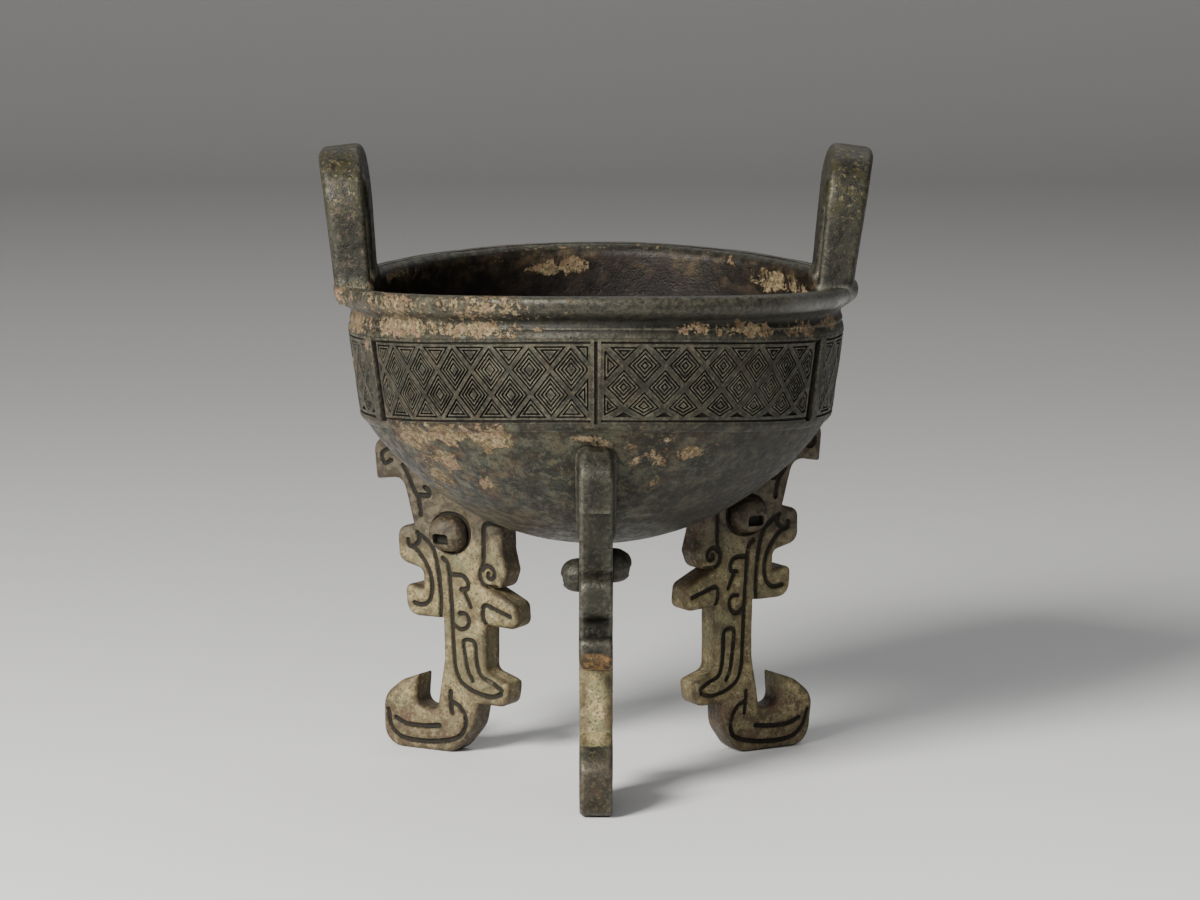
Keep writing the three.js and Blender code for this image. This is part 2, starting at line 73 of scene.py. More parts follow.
# Lines of the neck, the lip and the rim: radius, and height above the band, the lip's underside and its top
NECK_LINE = [(82.0, -0.6), (82.15, 0.6), (81.95, 1.6), (81.55, 2.5), (81.5, 3.0), (81.75, 3.5), (81.5, 4.1),
             (81.2, 4.9)]
LIP_LINE = [(81.15, -2.6), (81.5, -1.9), (82.6, -1.1), (84.2, -0.2), (85.4, 0.6), (86.25, 1.5), (86.75, 2.5),
            (LIP_RADIUS, 3.4)]
RIM_LINE = [(LIP_RADIUS, -1.7), (86.6, -0.8), (86.0, -0.25), (85.1, 0.0), (83.6, 0.05), (82.2, -0.05)]

# The inner wall below the neck: how far it is inside the neck's, and the height
INNER_LINE = [(0.3, 146.0), (0.9, 139.0), (1.9, 132.0)]

# Sizes of the ornament band
BAND_TOP = 152.0
BAND_BOTTOM = 124.4
BAND_TOP_RADIUS = 82.2
BAND_BOTTOM_RADIUS = 78.4
BAND_EDGE = 2.6
BAND_DEPTH = 3.2
BORDER = 1.5
BORDER_DIPS = [(0.0, 0.0), (0.2, 0.6), (0.6, 0.6), (0.8, 0.0), (1.5, 0.0)]
RELIEF = 0.9
PERIOD = 9.5
RING_PITCH = 0.98
RING_SLOPE = 0.14
RING_FLOOR = 0.3
RING_DROP = 0.12
SEAM_ANGLE = 1.2
RIB_ANGLE = 2.6
RIB_GROOVE_ANGLE = 2.8
RIB_GROOVE_DEPTH = 1.8
RIB_PROUD = 0.5

# Sizes of the handles
HANDLE_WIDTH = 52.0
HANDLE_TOP = 209.9
HANDLE_OUTER_BASE = 86.4
HANDLE_OUTER_TOP = 91.5
HANDLE_DEPTH_BASE = 11.6
HANDLE_DEPTH_TOP = 13.6
HANDLE_BAR = 11.7
HANDLE_ROUND = 21.0
HANDLE_INNER_SHARE = 0.8
HANDLE_BASE_LIFT = 0.8
HANDLE_EDGE = 2.2
BAR_CORNER_STEPS = 5
BAR_FLAT_STEPS = 4
ARCH_STEPS = (20, 6, 22)
HANDLE_FOOT = 3.0
HANDLE_FLARE = 0.9
HANDLE_FOOT_ROUND = 3.6
HANDLE_BOW = 1.6
HANDLE_TOP_TILT = 1.6
RIGHT_HANDLE_SET_IN = 1.2

# Sizes of the legs
LEG_HALF = 5.4
LEG_ROOT = 1.5
LEG_EDGE = 1.6
FIN_TOP_PLACE = (80.0, 110.3)
FIN_ROUND = 5.0
FIN_THIN = 2.6
LEG_FLARE = 1.2
LEG_FLARE_REACH = 3.0
GROOVE_WIDTH = 1.95
GROOVE_DEPTH = 1.0
GROOVE_SOFT = 0.5
EYE_PLACE = (54.0, 76.0)
EYE_LENGTH = 13.9
EYE_HEIGHT = 12.5
EYE_PROUD = 6.0
EYE_BLUNT = 2.5
EYE_POWER = 2.2
EYE_LEAN = 0.4
EYE_SUNK = 1.6
EYE_FOOT_SHARE = 0.94
EYE_RING_START = (0.86, 0.98)
EYE_RING_END = (1.08, 1.22)
EYE_ROWS = 12
EYE_STEPS = 48
FRONT_LEG = -90.0
LEFT_LEG = 150.0
RIGHT_LEG = 30.0
FRONT_EYE_SHARE = 0.88
FRONT_EYE_RISE = 2.2
FRONT_EYE_DROP = 1.0
PUPIL = (5.8, 3.4, 2.4)
PUPIL_SHIFT = (0.6, -1.4)
PUPIL_POWER = 5
PUPIL_STEPS = 24
PUPIL_LEVELS = [(0.72, -0.9), (0.94, -0.7), (1.0, -0.3)]
EDGE_RINGS = (0.14, 0.42, 0.82, 1.3)
GROOVE_ROWS = (0.36, 0.66, 0.97, 1.35)
EYE_RINGS = (0.8, 0.88, 0.94, 1.0, 1.06, 1.13, 1.2)
FINE_SPACE = 0.3
PLAIN_SPACE = 1.1
FACE_GRID = 1.9
EDGE_ROOM = 0.12
CELL = 1.2
LIFT_START, LIFT_END = 30.0, 47.0
FIN_START, FIN_END = 78.0, 92.0
FOOT_TOP = 16.0

# Each leg: direction from above, lift of its upper part and of its fin, shifts of its two edges
LEGS = [
    {"turn": FRONT_LEG, "lift": 0.0, "fin": 7.0, "inner": 0.0, "outer": 0.0},
    {"turn": LEFT_LEG, "lift": 0.0, "fin": 0.0, "inner": 0.0, "outer": 0.0},
    {"turn": RIGHT_LEG, "lift": 6.2, "fin": 0.0, "inner": 4.0, "outer": 1.6},
]


def mix(a, b, share):
    return a + (b - a) * share


def smooth(value, low, high):
    share = np.clip((np.asarray(value, float) - low) / (high - low), 0.0, 1.0)
    return share * share * (3.0 - 2.0 * share)


def between(value, start, end):
    """1 between two soft ends and 0 outside them."""
    return smooth(value, *start) * (1 - smooth(value, *end))


# Mesh helpers

def object_from(name, points, faces):
    """A linked mesh object from points in millimetres."""
    mesh = bpy.data.meshes.new(name)
    mesh.from_pydata((np.asarray(points, float) * MM).tolist(), [], [tuple(map(int, f)) for f in faces])
    mesh.validate()
    made = bpy.data.objects.new(name, mesh)
    bpy.context.scene.collection.objects.link(made)
    return made


def closed(piece):
    """Welds a piece's doubled points and turns its faces outwards."""
    work = bmesh.new()
    work.from_mesh(piece.data)
    bmesh.ops.remove_doubles(work, verts=work.verts, dist=1e-6)
    bmesh.ops.recalc_face_normals(work, faces=work.faces)
    volume = work.calc_volume(signed=True)
    if volume < 0:
        bmesh.ops.reverse_faces(work, faces=work.faces)
    work.to_mesh(piece.data)
    work.free()
    return piece


def combine(target, other, operation):
    """Joins another closed piece to the target, or cuts it away."""
    change = target.modifiers.new("combine", "BOOLEAN")
    change.operation = operation
    change.solver = "MANIFOLD"
    change.object = other
    bpy.context.view_layer.update()
    graph = bpy.context.evaluated_depsgraph_get()
    result = bpy.data.meshes.new_from_object(target.evaluated_get(graph))
    target.modifiers.clear()
    old = target.data
    target.data = result
    bpy.data.meshes.remove(old)
    used = other.data
    bpy.data.objects.remove(other)
    bpy.data.meshes.remove(used)
    return target


def merged(name, pieces):
    """One object that holds several pieces that don't touch each other."""
    work = bmesh.new()
    for piece in pieces:
        work.from_mesh(piece.data)
    mesh = bpy.data.meshes.new(name)
    work.to_mesh(mesh)
    work.free()
    for piece in pieces:
        used = piece.data
        bpy.data.objects.remove(piece)
        bpy.data.meshes.remove(used)
    made = bpy.data.objects.new(name, mesh)
    bpy.context.scene.collection.objects.link(made)
    return made


def tube(name, points, count, ends=None):
    """A closed body from rings of points, its first and last ring closed by fans round their middles."""
    rows = len(points) // count
    faces = []
    for i in range(rows - 1):
        a, b = i * count, (i + 1) * count
        for j in range(count):
            n = (j + 1) % count
            faces.append((a + j, a + n, b + n, b + j))
    for k, start in enumerate((0, (rows - 1) * count)):
        centre = len(points)
        points.append(ends[k] if ends else tuple(np.mean(points[start:start + count], axis=0)))
        faces += [(centre, start + j, start + (j + 1) % count) for j in range(count)]
    return closed(object_from(name, points, faces))


# The bowl

def arc(centre, radius, start, end, steps):
    angles = np.radians(np.linspace(start, end, steps + 1))
    return [(centre[0] + radius * math.cos(a), centre[1] + radius * math.sin(a)) for a in angles]


def belly_angle(radius, z):
    return math.degrees(math.asin((z - BELLY_CENTRE) / radius))


def bowl_profile():
    core = RIB_GROOVE_DEPTH + CORE_ROOM
    low = BAND_BOTTOM - BAND_EDGE
    inner = BELLY_RADIUS - WALL
    neck = NECK_RADIUS - WALL
    lip = LIP_TOP - LIP_HEIGHT
    profile = arc((0, BELLY_CENTRE), BELLY_RADIUS, -90, belly_angle(BELLY_RADIUS, low), BELLY_STEPS)
    profile += [(BAND_BOTTOM_RADIUS - core, BAND_BOTTOM), (BAND_TOP_RADIUS - core, BAND_TOP - core)]
    for base, line in ((BAND_TOP, NECK_LINE), (lip, LIP_LINE), (LIP_TOP, RIM_LINE)):
        profile += [(radius, base + off) for radius, off in line]
    profile += arc((neck + MOUTH_ROUND, LIP_TOP - MOUTH_DEPTH), MOUTH_ROUND, 82, 180, MOUTH_STEPS)
    profile += [(neck, mix(LIP_TOP, BAND_TOP, 0.6)), (neck, BAND_TOP)]
    profile += [(neck - off, height) for off, height in INNER_LINE]
    profile += arc((0, BELLY_CENTRE), inner, belly_angle(inner, INNER_BELLY_TOP), -90, INNER_STEPS)
    profile[0] = (0.0, profile[0][1])
    profile[-1] = (0.0, profile[-1][1])
    return profile


def lathe(name, profile, steps):
    """A closed body of revolution whose profile starts and ends on the axis."""
    turns = np.linspace(0, 2 * np.pi, steps, endpoint=False)
    rows = profile[1:-1]
    points = [(0.0, 0.0, profile[0][1])]
    for radius, z in rows:
        points += [(radius * math.sin(t), -radius * math.cos(t), z) for t in turns]
    points.append((0.0, 0.0, profile[-1][1]))
    last = len(points) - 1
    faces = []
    for k in range(steps):
        n = (k + 1) % steps
        faces.append((0, 1 + n, 1 + k))
        for j in range(len(rows) - 1):
            a, b = 1 + j * steps, 1 + (j + 1) * steps
            faces.append((a + k, a + n, b + n, b + k))
        end = 1 + (len(rows) - 1) * steps
        faces.append((last, end + k, end + n))
    return closed(object_from(name, points, faces))


# The ornament band

def band_radius(z):
    low = BAND_BOTTOM - BAND_EDGE
    belly = math.sqrt(BELLY_RADIUS ** 2 - (low - BELLY_CENTRE) ** 2)
    if z < BAND_BOTTOM:
        share = (z - low) / BAND_EDGE
        return mix(belly + 0.2, BAND_BOTTOM_RADIUS, math.sin(share * math.pi / 2))
    return mix(BAND_BOTTOM_RADIUS, BAND_TOP_RADIUS, (z - BAND_BOTTOM) / (BAND_TOP - BAND_BOTTOM))


def border_dip(z):
    """Depth of the thin groove that runs along the band's upper and lower borders."""
    off = max(z - (BAND_TOP - BORDER), BAND_BOTTOM + BORDER - z)
    if off < 0 or off > BORDER + 1e-6:
        return 0.0
    return float(np.interp(off, [d[0] for d in BORDER_DIPS], [d[1] for d in BORDER_DIPS]))


def on_band(point, sunk, back=False):
    angle, z = math.radians(point[0]), point[1]
    radius = band_radius(z) - sunk - (0.0 if back else border_dip(z))
    return (radius * math.sin(angle), -radius * math.cos(angle), z)


def clip(outline, a, b, c):
    """Keeps the part of a convex outline where a*x + b*y <= c."""
    kept = []
    for i, here in enumerate(outline):
        ahead = outline[(i + 1) % len(outline)]
        start = a * here[0] + b * here[1] - c
        end = a * ahead[0] + b * ahead[1] - c
        if start <= 0:
            kept.append(here)
        if start * end < 0:
            share = start / (start - end)
            kept.append((mix(here[0], ahead[0], share), mix(here[1], ahead[1], share)))
    return kept


def split_long(outline):
    """Adds points to the edges that would cut across the round band."""
    found = []
    for i, here in enumerate(outline):
        ahead = outline[(i + 1) % len(outline)]
        parts = 2 if abs(ahead[0] - here[0]) > PERIOD * 0.3 else 1
        for k in range(parts):
            share = k / parts
            found.append((round(mix(here[0], ahead[0], share), 4), round(mix(here[1], ahead[1], share), 4)))
    return found


# Kinds of panel: heights of the rows of diamonds as shares from the upper to the lower border,
# degrees from the panel's start to its first diamond, and half the width of the lattice's strips
PANEL_KINDS = {
    "wide": ((0.0, 1 / 3, 2 / 3, 1.0), 2.2, 0.68),
    "tight": ((0.0, 0.278, 0.572, 0.85, 1.0), 5.1, 0.9),
}
RIB_START = 60 + RIB_GROOVE_ANGLE
RIB_END = RIB_START + RIB_ANGLE
PANELS = [
    (SEAM_ANGLE, 60.0, "tight"),
    (RIB_END, 120 - SEAM_ANGLE, "wide"),
    (120 + SEAM_ANGLE, 180 - SEAM_ANGLE, "tight"),
    (180 + SEAM_ANGLE, 240 - SEAM_ANGLE, "wide"),
    (240 + SEAM_ANGLE, 360 - RIB_END, "tight"),
    (300.0, 360 - SEAM_ANGLE, "wide"),
]


def seam(angle):
    line = SEAM_ANGLE / 3
    return (angle - SEAM_ANGLE, angle - line, angle + line, angle + SEAM_ANGLE), (0.0, RELIEF, 0.0)


DIVIDERS = [
    ((60.0, RIB_START, RIB_END), (RIB_GROOVE_DEPTH, -RIB_PROUD)),
    seam(120), seam(180), seam(240),
    ((360 - RIB_END, 360 - RIB_START, 300.0), (-RIB_PROUD, RIB_GROOVE_DEPTH)),
    seam(360),
]


def tiles(start, end, kind):
    """Outlines of a panel's lattice tiles: diamonds, and halves along its borders and sides."""
    rows, shift, _ = PANEL_KINDS[kind]
    heights = [round(mix(BAND_TOP - BORDER, BAND_BOTTOM + BORDER, share), 4) for share in rows]
    half = PERIOD / 2
    found = []
    for row, z in enumerate(heights):
        angle = start + shift - (half if row % 2 else PERIOD)
        while angle < end + half:
            tile = [(angle - half, z)]
            if row + 1 < len(heights):
                tile.append((angle, heights[row + 1]))
            tile.append((angle + half, z))
            if row > 0:
                tile.append((angle, heights[row - 1]))
            tile = clip(tile, -1, 0, -start)
            tile = clip(tile, 1, 0, end)
            tile = [(round(x, 4), round(y, 4)) for x, y in tile]
            tile = [p for i, p in enumerate(tile) if math.dist(p, tile[(i + 1) % len(tile)]) > 1e-3]
            if len(tile) > 2:
                found.append(split_long(tile))
            angle += PERIOD
    return found


def middle(outline):
    return tuple(sum(p[k] for p in outline) / len(outline) for k in (0, 1))


def flat_edges(tile):
    """The edges of a tile laid flat in millimetres, as points and inward unit normals."""
    scale = math.radians(BAND_TOP_RADIUS)
    flat = [(x * scale, z) for x, z in tile]
    found = []
    for i, here in enumerate(flat):
        ahead = flat[(i + 1) % len(flat)]
        long = math.dist(here, ahead)
        found.append((here, (-(ahead[1] - here[1]) / long, (ahead[0] - here[0]) / long)))
    return found


def heart(tile):
    """The point of a tile that lies furthest from its edges, and how far that is."""
    scale = math.radians(BAND_TOP_RADIUS)
    edges = flat_edges(tile)

    def room(x, z):
        return min((x - p[0]) * n[0] + (z - p[1]) * n[1] for p, n in edges)

    x, z = middle(tile)
    x *= scale
    best, step = room(x, z), 1.0
    while step > 0.01:
        tries = [(room(x + dx * step, z + dz * step), x + dx * step, z + dz * step)
                 for dx in (-1, 0, 1) for dz in (-1, 0, 1)]
        top = max(tries)
        if top[0] > best + 1e-6:
            best, x, z = top
        else:
            step /= 2
    return (x / scale, z), best


def tile_rings(tile, strip):
    """Rings of a tile as (share of its outline, depth): its strip, then nested grooves and ridges."""
    _, reach = heart(tile)
    if reach < strip * 1.35:
        return [(0.0, 0.0)]
    rings = [(strip, 0.0)]
    inward = strip
    drop = 0.0
    while inward + RING_PITCH * 0.85 < reach:
        rings.append((inward + RING_SLOPE, RELIEF))
        rings.append((inward + RING_SLOPE + RING_FLOOR, RELIEF))
        drop = RING_DROP
        rings.append((inward + 2 * RING_SLOPE + RING_FLOOR, drop))
        rings.append((min(inward + RING_PITCH, reach * 0.98), drop))
        inward += RING_PITCH
    if len(rings) == 1:
        rings.append((mix(inward, reach, 0.4), RELIEF))
        drop = RELIEF
    shares = [(1 - way / reach, depth) for way, depth in rings]
    return shares + [(0.0, drop + 0.1)]


def quad(start, end, low, high):
    return [(start, low), (end, low), (end, high), (start, high)]


PLAIN = [(0.0, 0.0)]


def border_blocks(panel_tiles):
    """The borders above and below a panel: a thin groove between two raised lines."""
    low_line, high_line = round(BAND_BOTTOM + BORDER, 4), round(BAND_TOP - BORDER, 4)
    blocks = []
    for tile in panel_tiles:
        for i, (x, z) in enumerate(tile):
            ahead_x, ahead_z = tile[(i + 1) % len(tile)]
            if z != ahead_z or z not in (low_line, high_line):
                continue
            start, end = min(x, ahead_x), max(x, ahead_x)
            blocks += strip_rows(start, end, z)
    return blocks


def border_heights(upper):
    if upper:
        return [round(BAND_TOP - BORDER + off, 4) for off, _ in BORDER_DIPS]
    return [round(BAND_BOTTOM + BORDER - off, 4) for off, _ in reversed(BORDER_DIPS)]


def strip_rows(start, end, line):
    upper = line > (BAND_TOP + BAND_BOTTOM) / 2
    heights = border_heights(upper)
    rows = [(quad(start, end, low, high), PLAIN) for low, high in zip(heights, heights[1:])]
    if not upper:
        rows += edge_rows(start, end)
    return rows


def edge_rows(start, end):
    """The band's rounded lower edge."""
    steps = 4
    low = BAND_BOTTOM - BAND_EDGE
    heights = [low + BAND_EDGE * k / steps for k in range(steps)] + [BAND_BOTTOM]
    return [(quad(start, end, heights[k], heights[k + 1]), PLAIN) for k in range(steps)]


def side_heights(panel_tiles, angle):
    found = {z for tile in panel_tiles for x, z in tile if x == angle}
    found |= set(border_heights(True)) | set(border_heights(False))
    return sorted({round(z, 4) for z in found})


def divider_blocks(divider, before, after):
    angles, depths = divider
    blocks = []
    for k, depth in enumerate(depths):
        start, end = round(angles[k], 4), round(angles[k + 1], 4)
        inner = [BAND_BOTTOM, BAND_TOP]
        left = side_heights(before, start) if k == 0 else inner
        right = side_heights(after, end) if k == len(depths) - 1 else inner
        outline = [(end, z) for z in right] + [(start, z) for z in reversed(left)]
        soft = 0.85 if depth < 0 else 0.97
        rings = [(soft, depth), (0.0, depth)] if depth else PLAIN
        blocks.append((outline, rings))
        blocks += edge_rows(start, end)
    return blocks


def ornament_band():
    """The band as one closed ring: blocks side by side, with walls only where no block follows."""
    found = [tiles(*panel) for panel in PANELS]
    blocks = []
    for i, panel_tiles in enumerate(found):
        strip = PANEL_KINDS[PANELS[i][2]][2]
        blocks += [(tile, tile_rings(tile, strip)) for tile in panel_tiles]
        blocks += border_blocks(panel_tiles)
        following = found[i + 1] if i + 1 < len(found) else [
            [(round(x + 360, 4), z) for x, z in tile] for tile in found[0]]
        blocks += divider_blocks(DIVIDERS[i], panel_tiles, following)
    points, faces, index = [], [], {}

    def vertex(place):
        key = tuple(round(v, 3) for v in place)
        if key not in index:
            index[key] = len(points)
            points.append(place)
        return index[key]

    edges = set()
    for outline, _ in blocks:
        ring = [vertex(on_band(p, 0.0)) for p in outline]
        edges |= {(ring[i], ring[(i + 1) % len(ring)]) for i in range(len(ring))}
    for outline, rings in blocks:
        centre = heart(outline)[0] if len(rings) > 1 and rings[0][1] == 0.0 else middle(outline)
        levels = []
        for share, sunk in [(1.0, 0.0)] + rings:
            ring = [(mix(centre[0], x, share), mix(centre[1], z, share)) for x, z in outline]
            levels.append([vertex(on_band(p, sunk)) for p in ring])
        back = [vertex(on_band(p, BAND_DEPTH, True)) for p in outline]
        back_middle = vertex(on_band(centre, BAND_DEPTH, True))
        for i in range(len(outline)):
            j = (i + 1) % len(outline)
            for k in range(len(levels) - 1):
                a, b, c, d = levels[k][i], levels[k][j], levels[k + 1][j], levels[k + 1][i]
                if c == d:
                    faces.append((a, b, c))
                else:
                    faces += [(a, b, c), (a, c, d)]
            faces.append((back_middle, back[j], back[i]))
            a, b = levels[0][i], levels[0][j]
            if (b, a) not in edges:
                faces += [(a, back[j], b), (a, back[i], back[j])]
    faces = [f for f in faces if len(set(f)) == 3]
    return closed(object_from("band", points, faces))


# The handles

def bend(start, corner, end, steps):
    """Points of a quadratic curve without its last one."""
    found = []
    for k in range(steps):
        t = k / steps
        found.append(tuple((1 - t) ** 2 * a + 2 * t * (1 - t) * b + t * t * c
                           for a, b, c in zip(start, corner, end)))
    return found


def arch(reach, base, top, radius, steps):
    """A handle's inner or outer line, from its left foot over the top to its right foot."""
    rise, across, corner = steps
    side = [(-reach, mix(base, top - radius, k / rise)) for k in range(rise)]
    turn = bend((-reach, top - radius), (-reach, top), (-reach + radius, top), corner)
    roof = [(mix(-reach + radius, 0, k / across), top) for k in range(across)]
    half = side + turn + roof
    return half + [(0.0, top)] + [(-y, z) for y, z in reversed(half)]


def handle_rise(z):
    """How far up a handle a height is, from 0 at the lip to 1 at the top."""
    return min(max((z - LIP_TOP) / (HANDLE_TOP - LIP_TOP), 0), 1)


def bar_ring(bar, depth):
    """The handle bar's section with rounded edges, as shares of its width and depth."""
    corners = []
    for s, d, start in [(0, 0, 180), (1, 0, 270), (1, 1, 0), (0, 1, 90)]:
        corner = []
        for j in range(BAR_CORNER_STEPS + 1):
            angle = math.radians(start + 90 * j / BAR_CORNER_STEPS)
            across = s * bar + (HANDLE_EDGE if s == 0 else -HANDLE_EDGE) + math.cos(angle) * HANDLE_EDGE
            deep = d * depth + (HANDLE_EDGE if d == 0 else -HANDLE_EDGE) + math.sin(angle) * HANDLE_EDGE
            corner.append((across / bar, deep / depth))
        corners.append(corner)
    ring = []
    for corner, following in zip(corners, corners[1:] + corners[:1]):
        here, ahead = corner[-1], following[0]
        ring += corner
        ring += [(mix(here[0], ahead[0], j / BAR_FLAT_STEPS), mix(here[1], ahead[1], j / BAR_FLAT_STEPS))
                 for j in range(1, BAR_FLAT_STEPS)]
    return ring


def handle(side):
    """A loop handle: a bar along an arch that leans outwards, is bowed in plan and flares at its feet."""
    base = LIP_TOP - LIP_HEIGHT + HANDLE_BASE_LIFT
    half = HANDLE_WIDTH / 2
    inner_round = HANDLE_ROUND - HANDLE_BAR * HANDLE_INNER_SHARE
    outer_line = arch(half, base, HANDLE_TOP, HANDLE_ROUND, ARCH_STEPS)
    inner_line = arch(half - HANDLE_BAR, base, HANDLE_TOP - HANDLE_BAR, inner_round, ARCH_STEPS)
    points, ring = [], []
    for (y0, z0), (y1, z1) in zip(outer_line, inner_line):
        outward = math.copysign(1, y0 - y1) if abs(y0 - y1) > 1e-6 else 0
        bar = math.hypot(y1 - y0, z1 - z0)
        ring = bar_ring(bar, mix(HANDLE_DEPTH_BASE, HANDLE_DEPTH_TOP, handle_rise(mix(z0, z1, 0.5))))
        for across, deep in ring:
            y, z = mix(y0, y1, across), mix(z0, z1, across)
            rise = handle_rise(z)
            depth = mix(HANDLE_DEPTH_BASE, HANDLE_DEPTH_TOP, rise)
            low = min(max((LIP_TOP + HANDLE_FOOT - z) / HANDLE_FOOT, 0), 1)
            flare = HANDLE_FLARE * low * low
            spread = (0.5 - across) * 2 * flare
            deeper = flare * (deep if deep > 0.5 else 0)
            under = HANDLE_FOOT_ROUND - min(max(z - (LIP_TOP - LIP_HEIGHT), 0), HANDLE_FOOT_ROUND)
            deeper += (HANDLE_FOOT_ROUND - math.sqrt(HANDLE_FOOT_ROUND ** 2 - under ** 2)) * (1 - deep)
            set_in = RIGHT_HANDLE_SET_IN * (1 - rise) if side > 0 else 0.0
            bow = HANDLE_BOW * (y / half) ** 2
            outer = mix(HANDLE_OUTER_BASE, HANDLE_OUTER_TOP, rise) - set_in - bow
            z -= HANDLE_TOP_TILT * rise * (1 - deep)
            points.append((side * (outer - depth * deep - deeper), y + outward * spread, z))
    return tube("handle", points, len(ring))


# The legs: the outline from the fin at the bowl, down the outer side, round the foot and up the inner side

LEG_CORNERS = [
    (66.5, 110.3), (79.5, 110.3, 5), (84.8, 104.5, 6), (83.9, 92.2, 1), (73.4, 94, 5), (69.2, 78),
    (75.4, 76.4, 4.5), (75.2, 65.2, 5), (65.2, 62.6, 3), (65.2, 56.2),
    (72.4, 57.6, 4), (72, 46.2, 6.5), (57.3, 46.3),
    (57, 33, 20), (60, 14.6, 2.6), (68.4, 14.9, 5), (67.5, 26),
    (74.3, 23.4, 8), (81.4, 17.6, 9), (81.4, 0, 8.5), (53, 0, 8), (45, 9.5, 9), (43.4, 17.8),
    (32.4, 17.6, 3.5), (31.3, 25.9, 1.5), (40.4, 29.2, 3), (40.4, 45.4),
    (27.6, 44.6, 3.2), (28.4, 53, 3), (39.6, 58.4),
    (34, 58.2, 3.5), (31.8, 64, 3), (33.6, 71, 6), (33.8, 84.2),
]

LONG_GROOVES = [
    [(72.9, 98), (70.4, 93.8), (68.8, 90.1), (66.7, 86.6), (65.8, 81.3)],
    [(70.9, 72.4), (70.4, 70.4), (68.3, 69.7), (65, 66.3), (62.5, 62.2), (61.4, 57.2), (62.1, 53),
     (63.8, 50.9), (65.8, 50.3), (68.6, 50.7)],
    [(67.3, 75.1), (63.3, 72.6), (60.8, 69.7), (59.2, 63.8), (58.3, 57.2), (57.9, 50.5), (58.3, 46.6)],
    [(57.1, 67.2), (55, 64.3), (53.8, 53), (53.3, 44.7), (52.8, 36.3), (52.1, 29.7), (50, 25.1), (45, 22.2),
     (38.3, 20.9), (34.2, 22.2)],
    [(31.8, 79.9), (36.4, 80.5), (40.4, 79.8), (40.9, 75), (40.9, 69.7), (41.2, 66.2), (42.4, 63.4),
     (41.8, 60.4), (39.8, 58.9), (36, 58.7)],
    [(53.2, 17.6), (50.5, 16.2), (48.5, 13), (48.8, 8.8), (51.7, 5.5), (58.3, 3.6), (66.7, 2.9), (74.2, 3.7),
     (78.1, 7.2), (79.3, 12.6)],
]

SHORT_GROOVES = [
    [(78.3, 103.7), (81.3, 101.6), (80.2, 98.2), (77.5, 99.4)],
    [(66.4, 88), (62.9, 88.2), (62.5, 89.7), (64.2, 90.8)],
    [(66.9, 74.6), (66.7, 72.2), (68.5, 70.4)],
    [(34, 23.6), (37.8, 25.8), (41.7, 27.4), (43.3, 30.5), (44, 34.7), (44.6, 39.2), (48.8, 39.3),
     (48.2, 33.8), (47.1, 28.8), (45.4, 25.9)],
    [(53.6, 61.8), (49.4, 61.6), (47.3, 59.7), (47.5, 57.4), (50, 56.8)],
    [(48.4, 55.6), (47.2, 53.4), (46.1, 51.3)],
    [(53.3, 44.7), (50, 43.2), (47.4, 44.3), (46.8, 46.8), (48.2, 48.6), (50.4, 48.6)],
    [(30.6, 49.2), (35.6, 50.9), (40.5, 52.2), (41.3, 48.6), (40.4, 46)],
    [(41.3, 64.4), (39.6, 65.8), (37.4, 65), (36.6, 62.9), (37.8, 61.5), (39.2, 62.1), (39, 63.4)],
    [(54.3, 21.3), (54.2, 17.6), (53.7, 13.8)],
    [(58.8, 9), (64.2, 8.3), (71.7, 8.3), (76.3, 10.1)],
]


def on_leg(point, leg):
    """Moves a point of the left leg's drawing to its place on another leg."""
    u, z = point[0], point[1]
    lifted = z + leg["lift"] * float(smooth(z, LIFT_START, LIFT_END))
    lifted += leg["fin"] * float(smooth(z, FIN_START, FIN_END))
    outward = mix(leg["inner"], leg["outer"], float(smooth(u, 32, 57))) * float(smooth(z, 0, FOOT_TOP))
    return (u + outward, lifted)


def turned(turn, u, v, z):
    """A point of a leg's own axes (outwards, across, up) after the leg's turn about the bowl's axis."""
    return (u * math.cos(turn) - v * math.sin(turn), u * math.sin(turn) + v * math.cos(turn), z)


def rounded(corners, spacing):
    """Points of a path through (u, z, radius) corners, each rounded by a curve of its own radius."""
    path = []
    for i, corner in enumerate(corners):
        here = np.array(corner[:2], float)
        radius = corner[2] if len(corner) > 2 else 0
        if not radius or i in (0, len(corners) - 1):
            path.append(tuple(here))
            continue
        back = np.array(corners[i - 1][:2]) - here
        ahead = np.array(corners[i + 1][:2]) - here
        long_back, long_ahead = np.linalg.norm(back), np.linalg.norm(ahead)
        cosine = np.clip(back @ ahead / long_back / long_ahead, -1, 1)
        turn = math.pi - math.acos(cosine)
        reach = min(radius * math.tan(turn / 2), long_back * 0.49, long_ahead * 0.49)
        start, end = here + back / long_back * reach, here + ahead / long_ahead * reach
        steps = max(3, int(2 * reach / spacing))
        path += bend(tuple(start), tuple(here), tuple(end), steps) + [tuple(end)]
    return path


def spaced(path, spacing, loop):
    """A path resampled at about even spacing, with its own corners kept."""
    found = []
    ends = len(path) if loop else len(path) - 1
    for i in range(ends):
        here, ahead = np.array(path[i]), np.array(path[(i + 1) % len(path)])
        length = np.linalg.norm(ahead - here)
        if length < 1e-6:
            continue
        parts = max(1, int(round(length / spacing)))
        found += [tuple(mix(here, ahead, k / parts)) for k in range(parts)]
    if not loop:
        found.append(tuple(path[-1]))
    return found


